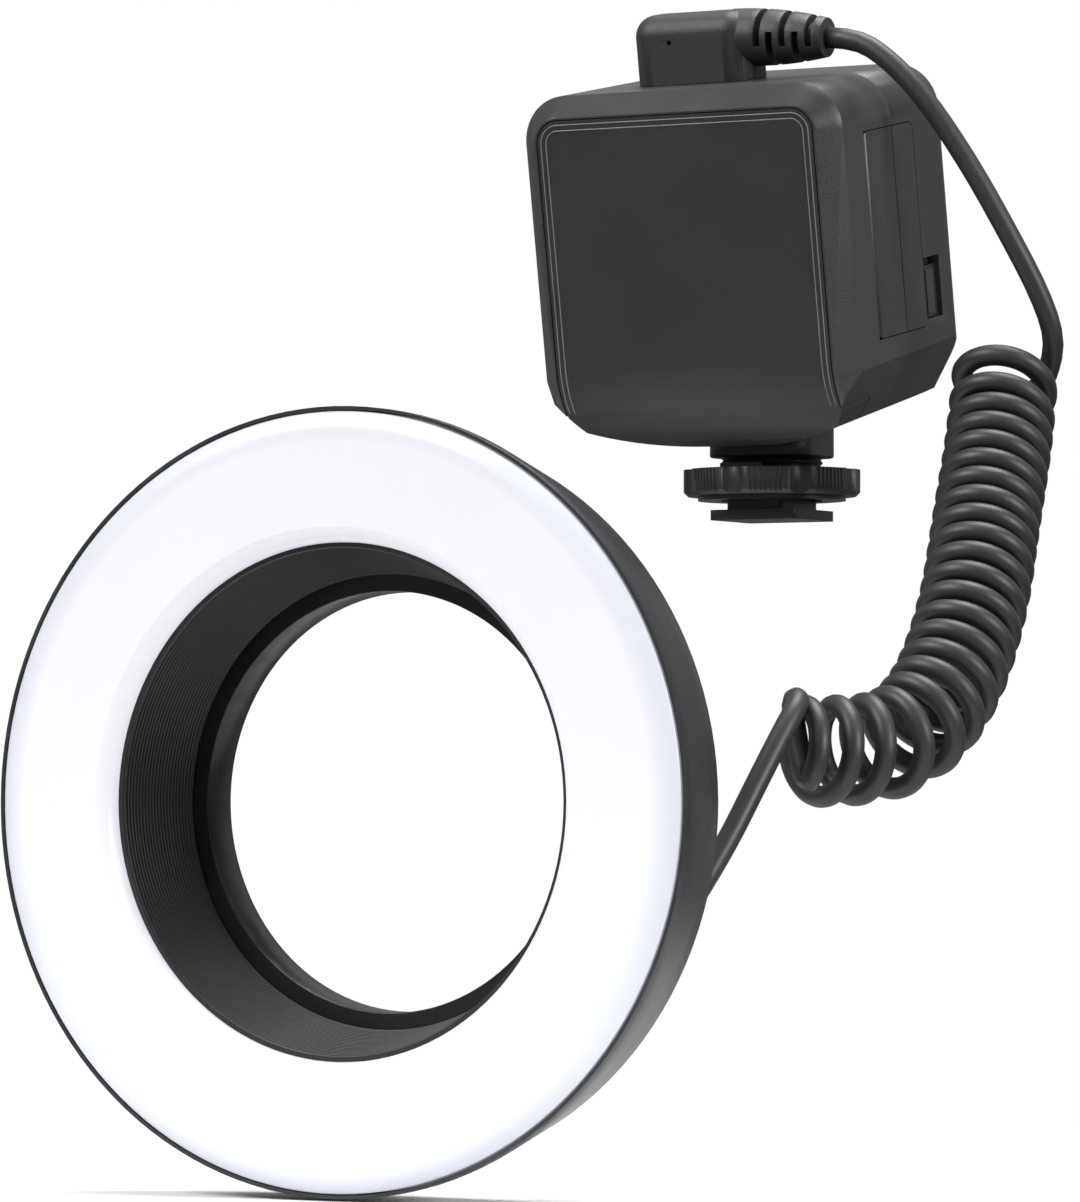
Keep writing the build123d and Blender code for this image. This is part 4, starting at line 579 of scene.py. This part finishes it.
def helix_points():
    """Points of the curly part, turning left-handed about the smooth line of its route."""
    middle = route_line("coil_route", COIL_ROUTE, COIL_ROUTE_STEPS)
    ways = [(b - a).normalized() for a, b in zip(middle, middle[1:])]
    lengths = [0.0]
    for index, (a, b) in enumerate(zip(middle, middle[1:])):
        step = (b - a).length
        bend = ways[index].angle(ways[index - 1]) if index else 0.0
        lengths.append(lengths[-1] + step**2 / (step + COIL_RADIUS * bend))
    grow = COIL_RADIUS / math.cos(math.pi / COIL_POINTS_PER_TURN)
    count = round((COIL_LAST_TURN - COIL_FIRST_TURN) * COIL_POINTS_PER_TURN)
    side = Vector((1, 0, 0))
    points = []
    for step in range(count + 1):
        turn = COIL_FIRST_TURN + step / COIL_POINTS_PER_TURN
        target = lengths[-1] * coil_share(turn) / coil_share(COIL_FULL_TURNS)
        last = len(lengths) - 1
        index = next((i for i in range(1, last) if lengths[i] >= target), last)
        inside = (target - lengths[index - 1]) / (lengths[index] - lengths[index - 1])
        place = middle[index - 1].lerp(middle[index], inside)
        ahead = ways[index - 1]
        side = (side - ahead * side.dot(ahead)).normalized()
        up = ahead.cross(side)
        angle = 2 * math.pi * turn
        points.append(place + (side * math.cos(angle) - up * math.sin(angle)) * grow)
    return points


def tube(name, line, radius, sides):
    """A closed round tube along a line, with no twist."""
    vertices, faces = [], []
    ahead = (line[1] - line[0]).normalized()
    side = ahead.orthogonal().normalized()
    for index, point in enumerate(line):
        low, high = max(0, index - 1), min(len(line) - 1, index + 1)
        ahead = (line[high] - line[low]).normalized()
        side = (side - ahead * side.dot(ahead)).normalized()
        up = ahead.cross(side)
        for step in range(sides):
            angle = 2 * math.pi * step / sides
            vertices.append(point + (side * math.cos(angle) + up * math.sin(angle)) * radius)
    for ring in range(len(line) - 1):
        for step in range(sides):
            a = ring * sides + step
            b = ring * sides + (step + 1) % sides
            faces.append((a, b, b + sides, a + sides))
    faces.append(tuple(reversed(range(sides))))
    faces.append(tuple(range((len(line) - 1) * sides, len(line) * sides)))
    mesh = bpy.data.meshes.new(name)
    mesh.from_pydata([tuple(v) for v in vertices], [], faces)
    for face in mesh.polygons:
        face.use_smooth = len(face.vertices) == 4
    mesh.update()
    piece = bpy.data.objects.new(name, mesh)
    scene.collection.objects.link(piece)
    return piece


def make_cord(materials):
    """The whole cord: lead from the plug, curly part, and lead to the ring head."""
    steer = [*PLUG_LEAD, *[tuple(point) for point in helix_points()], *COIL_FOLD, *RING_LEAD]
    line = [point * MM for point in route_line("cord_route", steer, CORD_STEPS)]
    cord = tube("cord", line, CORD_DIAMETER / 2 * MM, CORD_SIDES)
    cord.data.materials.append(materials["cord"])
    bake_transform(cord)
    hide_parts("cord_lead_plug", "cord_coil", "cord_lead_ring")


# Thin raised lines on the front plate, coloured pale as a painted highlight of its step groove


def plate_line(inset):
    """A line inset from the front plate's edge: up one side, over the top and down the other."""
    half = BODY_HALF_WIDTH - BEZEL - PLATE_MARGIN - inset
    top = BODY_HEIGHT - BEZEL - PLATE_MARGIN - inset
    radius = BODY_CORNER - BEZEL - PLATE_MARGIN - inset
    outline = []
    for step in range(TRIM_STEPS + 1):
        outline.append((half, TRIM_LOW + (UNDER_RADIUS - TRIM_LOW) * step / TRIM_STEPS))
    for step in range(TRIM_STEPS + 1):
        angle = math.pi / 2 * step / TRIM_STEPS
        x = half - radius + radius * math.cos(angle)
        outline.append((x, top - radius + radius * math.sin(angle)))
    outline += [(-x, z) for x, z in reversed(outline)]
    points = []
    for x, z in outline:
        drop = max(0.0, UNDER_RADIUS - z)
        back = UNDER_RADIUS - math.sqrt(UNDER_RADIUS**2 - drop**2)
        points.append(in_body(x, BODY_FRONT + back, z))
    return points


def make_plate_highlight_lines(materials):
    """Two fine raised lines just inside the front plate's edge, pale grey as a painted highlight.
    """
    for number, inset in enumerate(TRIM_INSETS):
        highlight_line = tube(f"plate_highlight_line_{number}", plate_line(inset), TRIM_RADIUS * MM, TRIM_SIDES)
        highlight_line.data.materials.append(materials["line"])
        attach(highlight_line, "controller")


# Generic marks on the back


def mark(name, text, x, y, z, size, body, material):
    """A short printed word or sign that faces backwards, on the controller's back."""
    curve = bpy.data.curves.new(name, "FONT")
    curve.body = text
    curve.size = size * MM
    curve.align_x = "CENTER"
    curve.align_y = "CENTER"
    curve.extrude = MARK_THICK * MM
    holder = bpy.data.objects.new(name, curve)
    scene.collection.objects.link(holder)
    bpy.context.view_layer.update()
    mesh = bpy.data.meshes.new_from_object(holder)
    bpy.data.objects.remove(holder)
    bpy.data.curves.remove(curve)
    middle = in_body(x, y, z)
    across, up, out = (in_body(x + dx, y + dy, z + dz) - middle for dx, dy, dz in MARK_WAYS)
    for vertex in mesh.vertices:
        vertex.co = middle + (across * vertex.co.x + up * vertex.co.y + out * vertex.co.z) / MM
    mesh.update()
    mesh.materials.append(material)
    piece = bpy.data.objects.new(name, mesh)
    scene.collection.objects.link(piece)
    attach(piece, body)


def back_reach(name):
    """How far back a node reaches, in the controller's own frame, in millimetres."""
    start = in_body(0, 0, 0)
    out = in_body(0, 1, 0) - start
    node = nodes[name]
    reach = max((node.matrix_world @ vertex.co).dot(out) for vertex in node.data.vertices)
    return (reach - start.dot(out)) / MM**2


def make_marks(materials):
    """Signs by the power switch and on the two mode buttons."""
    light = materials["print"]
    for name, text, z in MARKS_BY_SWITCH:
        mark(name, text, CONTROLS_X, BODY_BACK, z, MARK_SIZE, "controller", light)
    for button, text, z in MARKS_ON_BUTTONS:
        face = back_reach(button)
        size = BUTTON_MARK_SIZE
        mark(f"{button}_mark", text, -CONTROLS_X, face, z, size, button, light)


make_camera()
make_studio()
materials = make_materials()
dress(materials)
make_cord(materials)
make_plate_highlight_lines(materials)
make_marks(materials)
